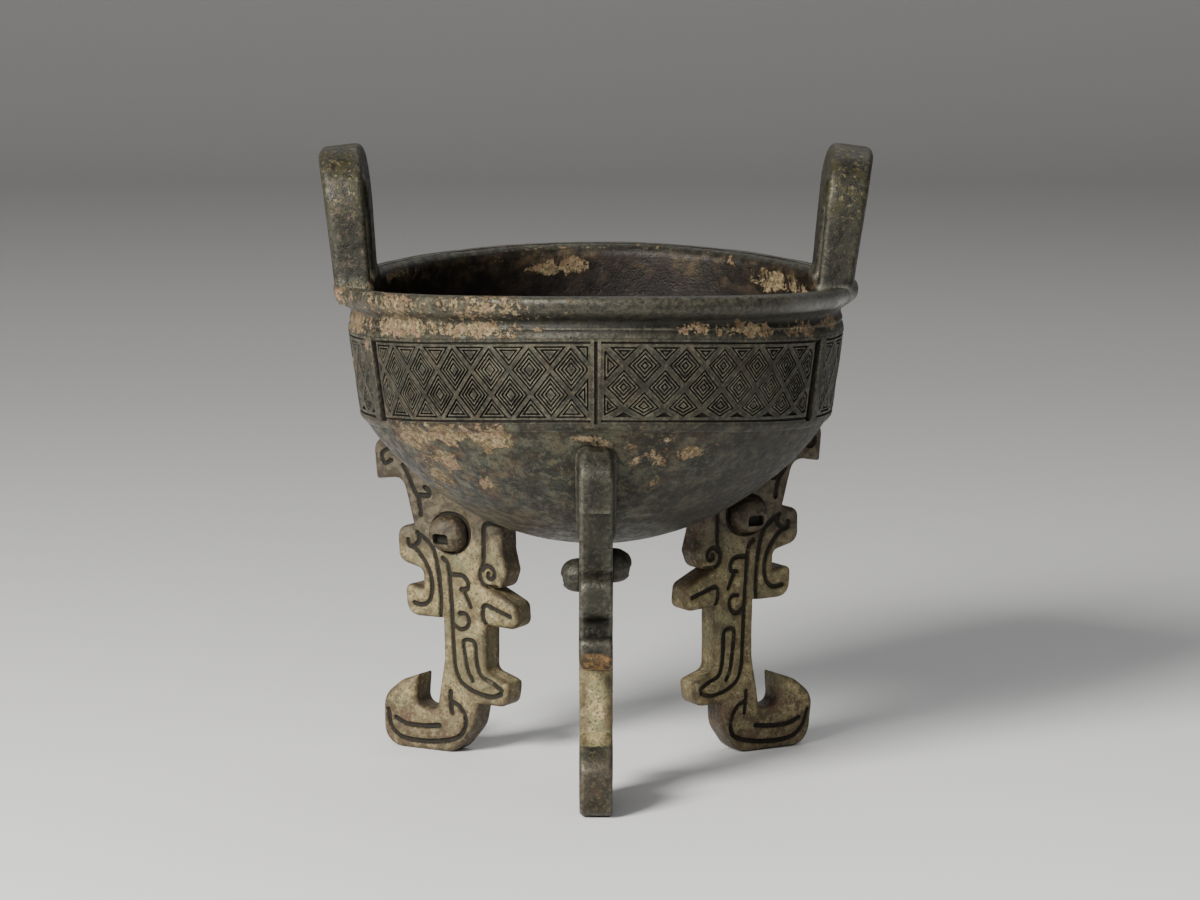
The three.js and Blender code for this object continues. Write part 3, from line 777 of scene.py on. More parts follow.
def curve(points, spacing):
    """A smooth line through the points of a groove."""
    points = [np.array(p, float) for p in points]
    if len(points) < 3:
        return spaced([tuple(p) for p in points], spacing, False)
    padded = [2 * points[0] - points[1]] + points + [2 * points[-1] - points[-2]]
    found = []
    for i in range(1, len(padded) - 2):
        a, b, c, d = padded[i - 1:i + 3]
        steps = max(2, int(round(np.linalg.norm(c - b) / spacing)))
        for k in range(steps):
            t = k / steps
            found.append(tuple(0.5 * (2 * b + (c - a) * t + (2 * a - 5 * b + 4 * c - d) * t * t
                                      + (3 * b - a - 3 * c + d) * t ** 3)))
    found.append(tuple(points[-1]))
    return found


def distances(places, lines, loop=False):
    """Shortest distance from each place to a set of lines."""
    starts, ends = [], []
    for line in lines:
        line = np.asarray(line, float)
        starts.append(line if loop else line[:-1])
        ends.append(np.roll(line, -1, axis=0) if loop else line[1:])
    starts, ends = np.concatenate(starts), np.concatenate(ends)
    along = ends - starts
    square = np.maximum((along ** 2).sum(axis=1), 1e-12)
    places = np.asarray(places, float)
    best = np.full(len(places), np.inf)
    for begin in range(0, len(places), 4000):
        part = places[begin:begin + 4000]
        away = part[:, None, :] - starts[None]
        share = np.clip((away * along).sum(axis=2) / square, 0, 1)
        off = away - share[..., None] * along
        best[begin:begin + 4000] = np.sqrt((off ** 2).sum(axis=2).min(axis=1))
    return best


def leg_lines(leg, showing):
    """The carved lines of one face of a leg."""
    lines = LONG_GROOVES + (SHORT_GROOVES if showing else [])
    return [curve([on_leg(p, leg) for p in line], 0.6) for line in lines]


def groove_share(away):
    """How deep a groove is, from 0 to 1, at a distance from its line."""
    half = GROOVE_WIDTH / 2
    return 1 - smooth(away, half - GROOVE_SOFT, half + 0.12)


def eye_place(leg, face):
    """Middle of an eye on one face of a leg, and its size as a share."""
    u, z = on_leg(EYE_PLACE, leg)
    if leg["turn"] == FRONT_LEG:
        return u, z + (FRONT_EYE_RISE if face > 0 else -FRONT_EYE_DROP), FRONT_EYE_SHARE
    return u, z, 1.0


def eye_way(places, leg, face):
    """Distance from an eye's middle as a share of its size."""
    u, z, share = eye_place(leg, face)
    across = np.abs((places[:, 0] - u) / (share * EYE_LENGTH / 2)) ** EYE_POWER
    up = np.abs((places[:, 1] - z) / (share * EYE_HEIGHT / 2)) ** EYE_POWER
    return (across + up) ** (1 / EYE_POWER)


def eye_ring(places, leg, face):
    """The dark recess around an eye's foot."""
    return between(eye_way(places, leg, face), EYE_RING_START, EYE_RING_END)


def face_height(places, leg, outline, lines, face):
    """Distance of a leg's face from its middle plane."""
    edge = np.minimum(distances(places, [outline], True), LEG_EDGE)
    drop = LEG_EDGE - np.sqrt(np.maximum(LEG_EDGE ** 2 - (LEG_EDGE - edge) ** 2, 0))
    sunk = GROOVE_DEPTH * np.maximum(groove_share(distances(places, lines)), eye_ring(places, leg, face))
    above = np.hypot(places[:, 0], places[:, 1] - BELLY_CENTRE) - BELLY_RADIUS
    flare = LEG_FLARE * (1 - np.clip(above / LEG_FLARE_REACH, 0, 1)) ** 2
    fade = np.clip(above + 1.0, 0, 1)
    fin_top = on_leg((FIN_TOP_PLACE[0], FIN_TOP_PLACE[1]), leg)[1]
    near_top = np.clip((places[:, 1] - fin_top + FIN_ROUND) / FIN_ROUND, 0, 1)
    thin = (1 - np.sqrt(1 - (near_top * 0.98) ** 2)) * FIN_THIN
    return LEG_HALF - drop - sunk * fade + flare - thin


def leg_outline(leg):
    path = rounded([(*on_leg(c, leg), *c[2:]) for c in LEG_CORNERS], 0.8)
    root = BELLY_RADIUS - LEG_ROOT
    path = [np.array(p) for p in path]
    fin = math.asin((path[0][1] - BELLY_CENTRE) / root)
    path[0][0] = root * math.cos(fin)
    path[-1][1] = BELLY_CENTRE - math.sqrt(root ** 2 - path[-1][0] ** 2)
    jaw = math.asin((path[-1][1] - BELLY_CENTRE) / root)
    path += [np.array((root * math.cos(a), BELLY_CENTRE + root * math.sin(a)))
             for a in np.linspace(jaw, fin, 14)[1:-1]]
    return spaced([tuple(p) for p in path], 0.95, True)


def leg_points(leg, outline, lines, face):
    """Points of a leg's face besides its outline: close by its edge and its grooves, sparse elsewhere."""
    loop = np.array(outline)
    ahead = np.roll(loop, -1, axis=0) - np.roll(loop, 1, axis=0)
    ahead /= np.maximum(np.linalg.norm(ahead, axis=1), 1e-9)[:, None]
    area = np.sum(loop[:, 0] * np.roll(loop[:, 1], -1) - loop[:, 1] * np.roll(loop[:, 0], -1))
    inward = np.stack([-ahead[:, 1], ahead[:, 0]], axis=1) * (1 if area > 0 else -1)
    wanted = []
    for depth in EDGE_RINGS:
        ring = loop + inward * depth
        keep = distances(ring, [outline], True) > depth * 0.93
        wanted += [(tuple(p), FINE_SPACE) for p in ring[keep]]
    for line in lines:
        line = np.array(spaced(line, 0.85, False))
        way = np.gradient(line, axis=0)
        way /= np.maximum(np.linalg.norm(way, axis=1), 1e-9)[:, None]
        side = np.stack([-way[:, 1], way[:, 0]], axis=1)
        for off in [0] + [sign * row for row in GROOVE_ROWS for sign in (1, -1)]:
            row = line + side * off
            own = distances(row, [line]) > abs(off) * 0.9
            wanted += [(tuple(p), FINE_SPACE) for p in row[own]]
        for end, sign in ((0, -1), (-1, 1)):
            for angle in np.radians(np.linspace(-75, 75, 5)):
                ray = np.array(turned(angle, *(sign * way[end]), 0)[:2])
                wanted += [(tuple(line[end] + ray * off), FINE_SPACE) for off in GROOVE_ROWS[:3]]
    eye_u, eye_z, size = eye_place(leg, face)
    for share in EYE_RINGS:
        for angle in np.linspace(0, 2 * np.pi, 56, endpoint=False):
            wanted.append(((eye_u + math.cos(angle) * share * size * EYE_LENGTH / 2,
                            eye_z + math.sin(angle) * share * size * EYE_HEIGHT / 2), FINE_SPACE))
    low, high = loop.min(axis=0), loop.max(axis=0)
    for i, u in enumerate(np.arange(low[0], high[0], FACE_GRID)):
        for z in np.arange(low[1] + (i % 2) * FACE_GRID / 2, high[1], FACE_GRID):
            wanted.append(((u, z), PLAIN_SPACE))
    spots = np.array([w[0] for w in wanted])
    inside = in_outline(spots, loop)
    near = distances(spots, [outline], True)
    cells = {}
    found = []
    for spot, ok, edge, (_, space) in zip(spots, inside, near, wanted):
        if not ok or edge < EDGE_ROOM:
            continue
        cell = (int(spot[0] // CELL), int(spot[1] // CELL))
        around = [other for du in (-1, 0, 1) for dz in (-1, 0, 1)
                  for other in cells.get((cell[0] + du, cell[1] + dz), ())]
        if all(math.dist(other, spot) >= space for other in around):
            cells.setdefault(cell, []).append(tuple(spot))
            found.append(tuple(spot))
    return found


def in_outline(spots, loop):
    """Which spots lie inside a closed outline."""
    inside = np.zeros(len(spots), bool)
    for here, ahead in zip(loop, np.roll(loop, -1, axis=0)):
        if here[1] == ahead[1]:
            continue
        crosses = (here[1] > spots[:, 1]) != (ahead[1] > spots[:, 1])
        at = here[0] + (spots[:, 1] - here[1]) * (ahead[0] - here[0]) / (ahead[1] - here[1])
        inside ^= crosses & (spots[:, 0] < at)
    return inside


def leg_body(leg):
    outline = leg_outline(leg)
    count = len(outline)
    turn = math.radians(leg["turn"])
    points, faces, sides = [], [], {}
    for face in (1, -1):
        lines = leg_lines(leg, face == leg_showing(leg))
        extra = leg_points(leg, outline, lines, face)
        flat = [Vector(p) for p in outline + extra]
        verts, _, tris, origins, _, _ = geometry.delaunay_2d_cdt(flat, [], [list(range(count))], 1, 1e-5)
        spots = np.array([tuple(v) for v in verts])
        height = face_height(spots, leg, outline, lines, face)
        start = len(points)
        points += [turned(turn, u, face * h, z) for (u, z), h in zip(spots, height)]
        faces += [tuple(start + i for i in tri) for tri in tris]
        back = {}
        for i, names in enumerate(origins):
            for name in names:
                if name < count:
                    back[name] = start + i
        sides[face] = [back[k] for k in range(count)]
    levels = [sides[1]]
    half = LEG_HALF - LEG_EDGE
    for share in (0.45, -0.45):
        row = []
        for u, z in outline:
            row.append(len(points))
            points.append(turned(turn, u, half * share, z))
        levels.append(row)
    levels.append(sides[-1])
    for upper, lower in zip(levels, levels[1:]):
        for i in range(count):
            j = (i + 1) % count
            faces.append((upper[i], upper[j], lower[j], lower[i]))
    return closed(object_from("leg", points, faces))


def leg_showing(leg):
    """The face of a leg that the photo shows, with all its lines."""
    return 1 if leg["turn"] == LEFT_LEG else -1


def blunt_ring(count, power):
    """Points round a blunted square of half width 1, squarer for a higher power."""
    found = []
    for k in range(count):
        angle = 2 * math.pi * k / count
        c, s = math.cos(angle), math.sin(angle)
        size = (abs(c) ** power + abs(s) ** power) ** (-1 / power)
        found.append((c * size, s * size))
    return found


def eye_body(leg, face):
    """The bulging eye: a blunt dome on an oval foot."""
    turn = math.radians(leg["turn"])
    eye_u, eye_z, whole = eye_place(leg, face)
    root = LEG_HALF - EYE_SUNK
    rows = [(EYE_FOOT_SHARE, 0.0)]
    for k in range(EYE_ROWS):
        angle = math.radians(90 * k / EYE_ROWS)
        proud = EYE_SUNK + EYE_PROUD * math.sin(angle) ** (2 / EYE_POWER)
        rows.append((math.cos(angle) ** (2 / EYE_BLUNT), proud))
    points = []
    for share, proud in rows:
        lean = EYE_LEAN * proud / EYE_PROUD
        wide = share * whole / 2
        points += [turned(turn, eye_u + lean + wide * c * EYE_LENGTH, face * (root + proud),
                          eye_z + wide * s * EYE_HEIGHT) for c, s in blunt_ring(EYE_STEPS, EYE_POWER)]
    ends = [turned(turn, eye_u + lean, face * (root + proud), eye_z)
            for lean, proud in ((0.0, 0.0), (EYE_LEAN, EYE_SUNK + EYE_PROUD))]
    return tube("eye", points, EYE_STEPS, ends)


def pupil_body(leg, face):
    """The rounded block that sinks the pupil into the eye."""
    turn = math.radians(leg["turn"])
    eye_u, eye_z, _ = eye_place(leg, face)
    length, height, depth = PUPIL
    floor_v = LEG_HALF + EYE_PROUD - depth
    u, z = eye_u + PUPIL_SHIFT[0], eye_z + PUPIL_SHIFT[1]
    points = []
    for share, rise in PUPIL_LEVELS + [(1.12, depth + 2)]:
        points += [turned(turn, u + share * c * length / 2, face * (floor_v + rise),
                          z + share * s * height / 2) for c, s in blunt_ring(PUPIL_STEPS, PUPIL_POWER)]
    return tube("pupil", points, PUPIL_STEPS)


# All parts joined to one closed casting

vessel = lathe("ding_bronze", bowl_profile(), BOWL_STEPS)
combine(vessel, ornament_band(), "UNION")
combine(vessel, merged("handles", [handle(1), handle(-1)]), "UNION")
combine(vessel, merged("legs", [leg_body(leg) for leg in LEGS]), "UNION")
combine(vessel, merged("eyes", [eye_body(leg, face) for leg in LEGS for face in (1, -1)]), "UNION")
combine(vessel, merged("pupils", [pupil_body(leg, face) for leg in LEGS for face in (1, -1)]), "DIFFERENCE")


# The casting's own unevenness, the saddle of its rim, and masks for its patina and for painted shade and
# highlights

def warp(places):
    """Raises the rim at front and back and lowers it at the handles, as it was cast."""
    x, y, z = places.T
    around = np.cos(2 * np.arctan2(x, -y))
    amount = mix(BAND_SADDLE, SADDLE, smooth(z, BAND_TOP, LIP_TOP - LIP_HEIGHT))
    rise = smooth(z, BAND_BOTTOM - 30, BAND_BOTTOM) * (1 - smooth(z, LIP_TOP, HANDLE_TOP))
    moved = places.copy()
    moved[:, 2] += amount * rise * around
    return moved


def coordinates(mesh):
    flat = np.empty(len(mesh.vertices) * 3)
    mesh.vertices.foreach_get("co", flat)
    return flat.reshape(-1, 3) / MM


def normals(mesh):
    flat = np.empty(len(mesh.vertices) * 3)
    mesh.vertices.foreach_get("normal", flat)
    return flat.reshape(-1, 3)


def store(mesh, places):
    mesh.vertices.foreach_set("co", (places * MM).ravel())
    mesh.update()


def mask(mesh, name, values):
    layer = mesh.attributes.new(name, "FLOAT", "POINT")
    layer.data.foreach_set("value", np.asarray(values, np.float32))


def bulge(mesh, places, facing):
    """How far each vertex stands out of its neighbours, along its normal, per millimetre."""
    pairs = np.empty(len(mesh.edges) * 2, int)
    mesh.edges.foreach_get("vertices", pairs)
    a, b = pairs.reshape(-1, 2).T
    away = places[b] - places[a]
    long = np.maximum(np.linalg.norm(away, axis=1), 1e-6)
    total = np.zeros(len(places))
    weight = np.zeros(len(places))
    np.add.at(total, a, -(away * facing[a]).sum(axis=1) / long)
    np.add.at(total, b, (away * facing[b]).sum(axis=1) / long)
    np.add.at(weight, a, 1)
    np.add.at(weight, b, 1)
    return total / np.maximum(weight, 1)


def waves(places, scale, seed):
    """Smooth seeded noise at each place, about -1 to 1."""
    shift = Vector((seed * 7.3, seed * 3.1, seed * 5.7))
    return np.array([noise.noise(Vector(p) * scale + shift) for p in places.tolist()])


# Where stains start and end: from carved lines, from a leg's rim and up an eye
LINE_STAIN = (0.5, 4.2)
RIM_STAIN = (0.0, 3.4)
EYE_STAIN = (0.4, 1.6)

# Height and radius of the inner wall
INNER_RADII = [(120, 72.0), (126, 75.2), (132, 76.3), (139, 77.3), (146, 77.9), (BAND_TOP, 78.2),
               (LIP_TOP, 78.6)]

mesh = vessel.data
places = coordinates(mesh)
facing = normals(mesh)
x, y, z = places.T
azimuth = np.degrees(np.arctan2(x, -y))
reach = np.hypot(x, y)
ball = np.sqrt(reach ** 2 + (z - BELLY_CENTRE) ** 2)
convex = bulge(mesh, places, facing)

on_legs = (z < 118) & (ball > BELLY_RADIUS + 0.25) & (z < BAND_BOTTOM - BAND_EDGE)
groove = np.zeros(len(places))
halo = np.zeros(len(places))
leg_number = np.full(len(places), -1)
for number, leg in enumerate(LEGS):
    turn = math.radians(leg["turn"])
    u = x * math.cos(turn) + y * math.sin(turn)
    v = -x * math.sin(turn) + y * math.cos(turn)
    own = on_legs & (u > 20) & (np.abs(v) < 14)
    leg_number[own] = number
    for face in (1, -1):
        chosen = np.flatnonzero(own & (v * face > LEG_HALF - LEG_EDGE - 0.2))
        flat = np.stack([u[chosen], z[chosen]], axis=1)
        lines = leg_lines(leg, face == leg_showing(leg))
        away = distances(flat, lines)
        carved = np.maximum(groove_share(away), eye_ring(flat, leg, face))
        proud = np.abs(v[chosen]) - LEG_HALF
        stain = np.maximum(0.85 * (1 - smooth(away, *LINE_STAIN)),
                           1 - smooth(distances(flat, [leg_outline(leg)]), *RIM_STAIN))
        halo[chosen] = np.maximum(stain, smooth(proud, *EYE_STAIN))
        carved *= proud < 0.1
        groove[chosen] = np.maximum(groove[chosen], carved)
        pupil_u, pupil_z, _ = eye_place(leg, face)
        way = np.maximum(np.abs(flat[:, 0] - pupil_u - PUPIL_SHIFT[0]) / (PUPIL[0] / 2),
                         np.abs(flat[:, 1] - pupil_z - PUPIL_SHIFT[1]) / (PUPIL[1] / 2))
        sunk = (proud < EYE_PROUD - 0.35) & (proud > 2)
        groove[chosen] = np.maximum(groove[chosen], sunk * (1 - smooth(way, 0.95, 1.1)))

on_band_zone = (z > BAND_BOTTOM - BAND_EDGE) & (z < BAND_TOP + 0.1) & (reach > 74)
outer_face = np.array([band_radius(h) if on else 0.0 for h, on in zip(z, on_band_zone)])
wall_side = on_band_zone & (reach > outer_face - 2.0) & (facing[:, 0] * x + facing[:, 1] * y > -0.2 * reach)
sunk = np.clip((outer_face - reach) / RELIEF, 0, 1.3)
groove = np.where(wall_side, np.maximum(groove, sunk), groove)

inner_wall = np.interp(z, *zip(*INNER_RADII))
inside = np.where(z < 121, ball < BELLY_RADIUS - WALL + 0.6, reach < inner_wall + 0.9)
inside &= (z < LIP_TOP - 1.6) & (z > BELLY_CENTRE - BELLY_RADIUS + WALL - 0.6)

store(mesh, warp(places))

# Heights where the front leg is pale and where it is ochre, and where the painted highlight lies on the lip:
# soft start and end
PALE_ZONE = ((21.5, 24.5), (43, 45))
OCHRE_ZONE = ((44, 45), (51, 53))
PAINTED_GLINT_ZONE = ((159.5, 162), (LIP_TOP - 2, LIP_TOP + 1))

# Masks for the patina, and for painted shade and a painted highlight
leg_face = np.zeros(len(places))
for number, leg in enumerate(LEGS):
    turn = math.radians(leg["turn"])
    across = np.abs(-facing[:, 0] * math.sin(turn) + facing[:, 1] * math.cos(turn))
    own = leg_number == number
    leg_face[own] = smooth(across[own], 0.35, 0.8)
front = leg_number == 0
rear = leg_number > 0
pale = np.where(rear, mix(0.55, 1.0, leg_face) * mix(0.55, 1.0, smooth(z, 10, 26)), 0.0)
pale *= mix(1.0, 0.62, smooth(z, 62, 84))
pale = np.where(front, between(z, *PALE_ZONE), pale)
ochre = np.where(front, between(z, *OCHRE_ZONE), 0.0)
foot = np.where(on_legs, 1 - smooth(z, 14, 26), 0.0) * np.where(front, 0.45, 1.0)
edge_band = np.where(rear, (1 - leg_face) * mix(0.35, 0.9, smooth(z, 34, 66)), 0.0)
# Darker bronze on the front leg's upper part and foot, the handles and the neck's middle, and painted shade
# that darkens the bowl, band and neck towards the right, away from the lamp
dark_patina_and_painted_shade = np.where(front, np.maximum(smooth(z, 44, 50), 0.8 * (1 - smooth(z, 18, 23))), 0.0)
dark_patina_and_painted_shade = np.where(on_legs | (z < 150), dark_patina_and_painted_shade, mix(0.35, 1.0, smooth(azimuth, -34, -8)) * (reach > 76))
dark_patina_and_painted_shade = np.where((z > LIP_TOP + 3) & (reach > 68), 1.0, dark_patina_and_painted_shade)
dark_patina_and_painted_shade = np.where((z > 60) & (z < 124) & ~on_legs, 0.2 + 0.45 * smooth(azimuth, 0, 50), dark_patina_and_painted_shade)
dark_patina_and_painted_shade = np.where((z > 124) & (z < BAND_TOP) & ~on_legs, 0.55 + 0.2 * smooth(azimuth, 0, 50), dark_patina_and_painted_shade)

# Encrusted places on the bowl: azimuth from the front, height, half extents and strength
CRUSTS = [
    (-75, 163, 16, 8, 0.7), (-50, 163, 18, 8, 0.7), (-26, 163, 18, 8, 0.68), (-6, 163, 8, 6, 0.36),
    (20, 163, 16, 5, 0.3), (44, 163, 14, 5, 0.3), (70, 163, 14, 5, 0.3),
    (-74, 156, 16, 5.4, 0.92), (-50, 156, 14, 5, 0.95), (-28, 155.5, 14, 4, 0.9), (-13, 155, 6, 2, 0.6),
    (24, 155.5, 8, 3, 0.8), (38, 155.5, 9, 3.4, 0.88), (54, 155, 10, 3.4, 0.8), (70, 156, 10, 3.4, 0.82),
    (-66, 150, 12, 2, 0.6), (-84, 140, 7, 10, 0.5), (80, 140, 7, 10, 0.4),
    (-52, 120, 12, 6, 0.85), (-39, 121, 10, 4.6, 0.9), (-27, 119, 8, 5, 0.85), (-44, 112, 11, 6, 0.75),
    (-52, 104, 12, 7, 0.75), (-34, 105, 10, 4, 0.6), (-62, 98, 12, 7, 0.6),
    (-3, 120, 5, 1.6, 0.9), (4, 117, 6, 1.5, 0.85), (10, 112, 3, 4, 0.8), (9, 104, 2.4, 5, 0.6),
    (16, 113, 3.4, 4, 0.85), (18, 119.5, 3, 2, 0.75), (16.5, 105, 3, 4, 0.62), (25, 115.5, 4.5, 2.6, 0.85),
    (32, 118, 3, 1.6, 0.6), (-60, 127, 3, 3, 0.6),
    (150, 112, 26, 7, 0.7), (-140, 106, 24, 8, 0.66), (-110, 118, 14, 5, 0.6), (100, 106, 14, 7, 0.55),
    (180, 163, 60, 5, 0.6), (100, 163, 16, 5, 0.5), (-110, 156, 20, 3, 0.7), (170, 156, 26, 3, 0.7),
]
INSIDE_CRUSTS = [
    (-167, 159, 6, 3, 1.25), (-174, 159.5, 5, 2.6, 1.2), (-154, 160.5, 4, 2.4, 1.1),
    (130, 160, 9, 4, 0.95), (116, 159, 8, 4, 0.9), (146, 163, 12, 2, 0.5), (-120, 163, 12, 2, 0.6),
    (-60, 140, 16, 8, 0.5),
]


def patches(spots):
    """Soft patches at the given spots, the stronger one where two overlap."""
    found = np.zeros(len(places))
    for az, height, wide, tall, strength in spots:
        off = (azimuth - az + 180) % 360 - 180
        found = np.maximum(found, strength * np.exp(-(off / wide) ** 2 - ((z - height) / tall) ** 2))
    return found


outer = ~inside & ~on_legs
crust = np.where(outer, patches(CRUSTS), np.where(inside, patches(INSIDE_CRUSTS), 0.0))
on_loop = (z > LIP_TOP + 6) & (reach > 68)
loop = np.where(on_loop, mix(0.35, 1.0, (places[:, 0] < 0) * 1.0), 0.0)
top = np.where(on_loop, smooth(z, 186, 196) + 0.15, 0.0)
rust = np.where(outer & (z < 128), 0.25 + 0.75 * np.exp(-((azimuth + 52) / 26) ** 2), 0.3)
dusky = np.where(on_legs & rear, smooth(z, 62, 80), 0.0)
# A painted highlight on the lip's right end
painted_glint = np.where(outer & (reach > 84.5), np.exp(-((azimuth - 64) / 14) ** 2), 0.0)
painted_glint *= between(z, *PAINTED_GLINT_ZONE)
sprinkled = np.where((z > 149) & ~inside, 1.0, 0.0)
shoulder = np.where(inside, smooth(z, 155, 160), 0.0)

# Room that is kept inside the CAD's box
BOX_ROOM = 0.02

# Uneven casting: slow waves, small dents and crusts that stand a little proud
places = coordinates(mesh)
lift = waves(places, 0.05, 1) * 0.22 + waves(places, 0.14, 2) * 0.1
pits = waves(places, 0.3, 4)
lift -= 0.12 * smooth(pits, 0.42, 0.62) * (1 - np.clip(groove, 0, 1))
lift += 0.14 * crust * smooth(waves(places, 0.22, 5), -0.05, 0.3)
lift *= 1 - 0.75 * smooth(z, 4, 0)
moved = places + facing * lift[:, None]
moved[:, 0] = np.clip(moved[:, 0], CAD_BOX[0][0] / MM + BOX_ROOM, CAD_BOX[1][0] / MM - BOX_ROOM)
moved[:, 1] = np.clip(moved[:, 1], CAD_BOX[0][1] / MM + BOX_ROOM, CAD_BOX[1][1] / MM - BOX_ROOM)
moved[:, 2] = np.clip(moved[:, 2], 0.0, CAD_BOX[1][2] / MM - BOX_ROOM)
store(mesh, moved)

# Masks stored on the mesh, among them painted shade, painted highlights on edges and ridges, and a painted
# highlight on the lip
for name, values in {
    "carved": np.clip(groove, 0, 1),
    "edge": np.clip(convex * np.where(on_band_zone, 1.0, 2.4), 0, 1),
    "hollow": np.clip(-convex * 2.4, 0, 1),
    "pale": pale, "ochre": ochre, "foot": foot, "edge_band": edge_band,
    "halo": halo, "dark_patina_and_painted_shade": dark_patina_and_painted_shade, "crust": crust, "inside": inside.astype(float),
    "loop": loop, "top": top, "rust": rust, "dusky": dusky, "painted_glint": painted_glint,
    "sprinkled": sprinkled, "shoulder": shoulder,
}.items():
    mask(mesh, name, values)
for polygon in mesh.polygons:
    polygon.use_smooth = True
mesh.set_sharp_from_angle(angle=math.radians(38))


# The patina: strength and height in metres of its fine bumps, and its gloss

BUMP_STRENGTH = 0.8
BUMP_HEIGHT = 0.00065
BRONZE_GLOSS = 0.3


def linear(r, g, b):
    """A colour seen as red, green and blue out of 255, as the shader wants it."""
    found = []
    for value in (r, g, b):
        v = value / 255
        found.append(v / 12.92 if v <= 0.04045 else ((v + 0.055) / 1.055) ** 2.4)
    return (*found, 1.0)


class Shader:
    """Short names for building a material's nodes."""

    def __init__(self, name):
        self.material = bpy.data.materials.new(name)
        self.material.use_nodes = True
        self.tree = self.material.node_tree
        self.tree.nodes.clear()
        self.place = self.node("ShaderNodeTexCoord").outputs["Object"]

    def node(self, kind, values=(), **settings):
        """A node with its settings, and values or sockets put into its inputs."""
        made = self.tree.nodes.new(kind)
        for key, value in settings.items():
            setattr(made, key, value)
        for socket, value in dict(values).items():
            if isinstance(value, bpy.types.NodeSocket):
                self.tree.links.new(value, made.inputs[socket])
            else:
                made.inputs[socket].default_value = value
        return made

    def mask(self, name):
        return self.node("ShaderNodeAttribute", attribute_name=name).outputs["Fac"]

    def noise(self, scale, detail=4.0, rough=0.55, warp=0.0):
        made = self.node("ShaderNodeTexNoise", {
            "Vector": self.place, "Scale": scale, "Detail": detail, "Roughness": rough, "Distortion": warp})
        return made.outputs["Fac"]

    def cells(self, scale):
        made = self.node("ShaderNodeTexVoronoi", {"Vector": self.place, "Scale": scale}, feature="F1")
        return made.outputs["Distance"]

    def math(self, kind, a, b=0.0, clamp=False):
        return self.node("ShaderNodeMath", {0: a, 1: b}, operation=kind, use_clamp=clamp).outputs[0]

    def times(self, a, b):
        return self.math("MULTIPLY", a, b)

    def plus(self, a, b, clamp=False):
        return self.math("ADD", a, b, clamp)

    def step(self, value, low, high, bottom=0.0, top=1.0):
        made = self.node("ShaderNodeMapRange", {
            "Value": value, "From Min": low, "From Max": high, "To Min": bottom, "To Max": top},
            interpolation_type="SMOOTHSTEP")
        return made.outputs["Result"]

    def blend(self, share, a, b):
        """A mix of two colours, each a socket or red, green and blue out of 255."""
        a, b = [linear(*paint) if isinstance(paint, tuple) else paint for paint in (a, b)]
        made = self.node("ShaderNodeMix", {0: share, 6: a, 7: b},
                         data_type="RGBA", blend_type="MIX", clamp_factor=True)
        return made.outputs[2]

    def layers(self, colour, speckles):
        """Speckles over a colour: each a noise, where it starts and is full, its share and its paint."""
        for texture, low, high, share, paint in speckles:
            colour = self.blend(self.times(self.step(texture, low, high), share), colour, paint)
        return colour

    def finished(self, shader):
        """The material, with its surface joined to the output."""
        self.node("ShaderNodeOutputMaterial", {"Surface": shader.outputs[0]})
        return self.material
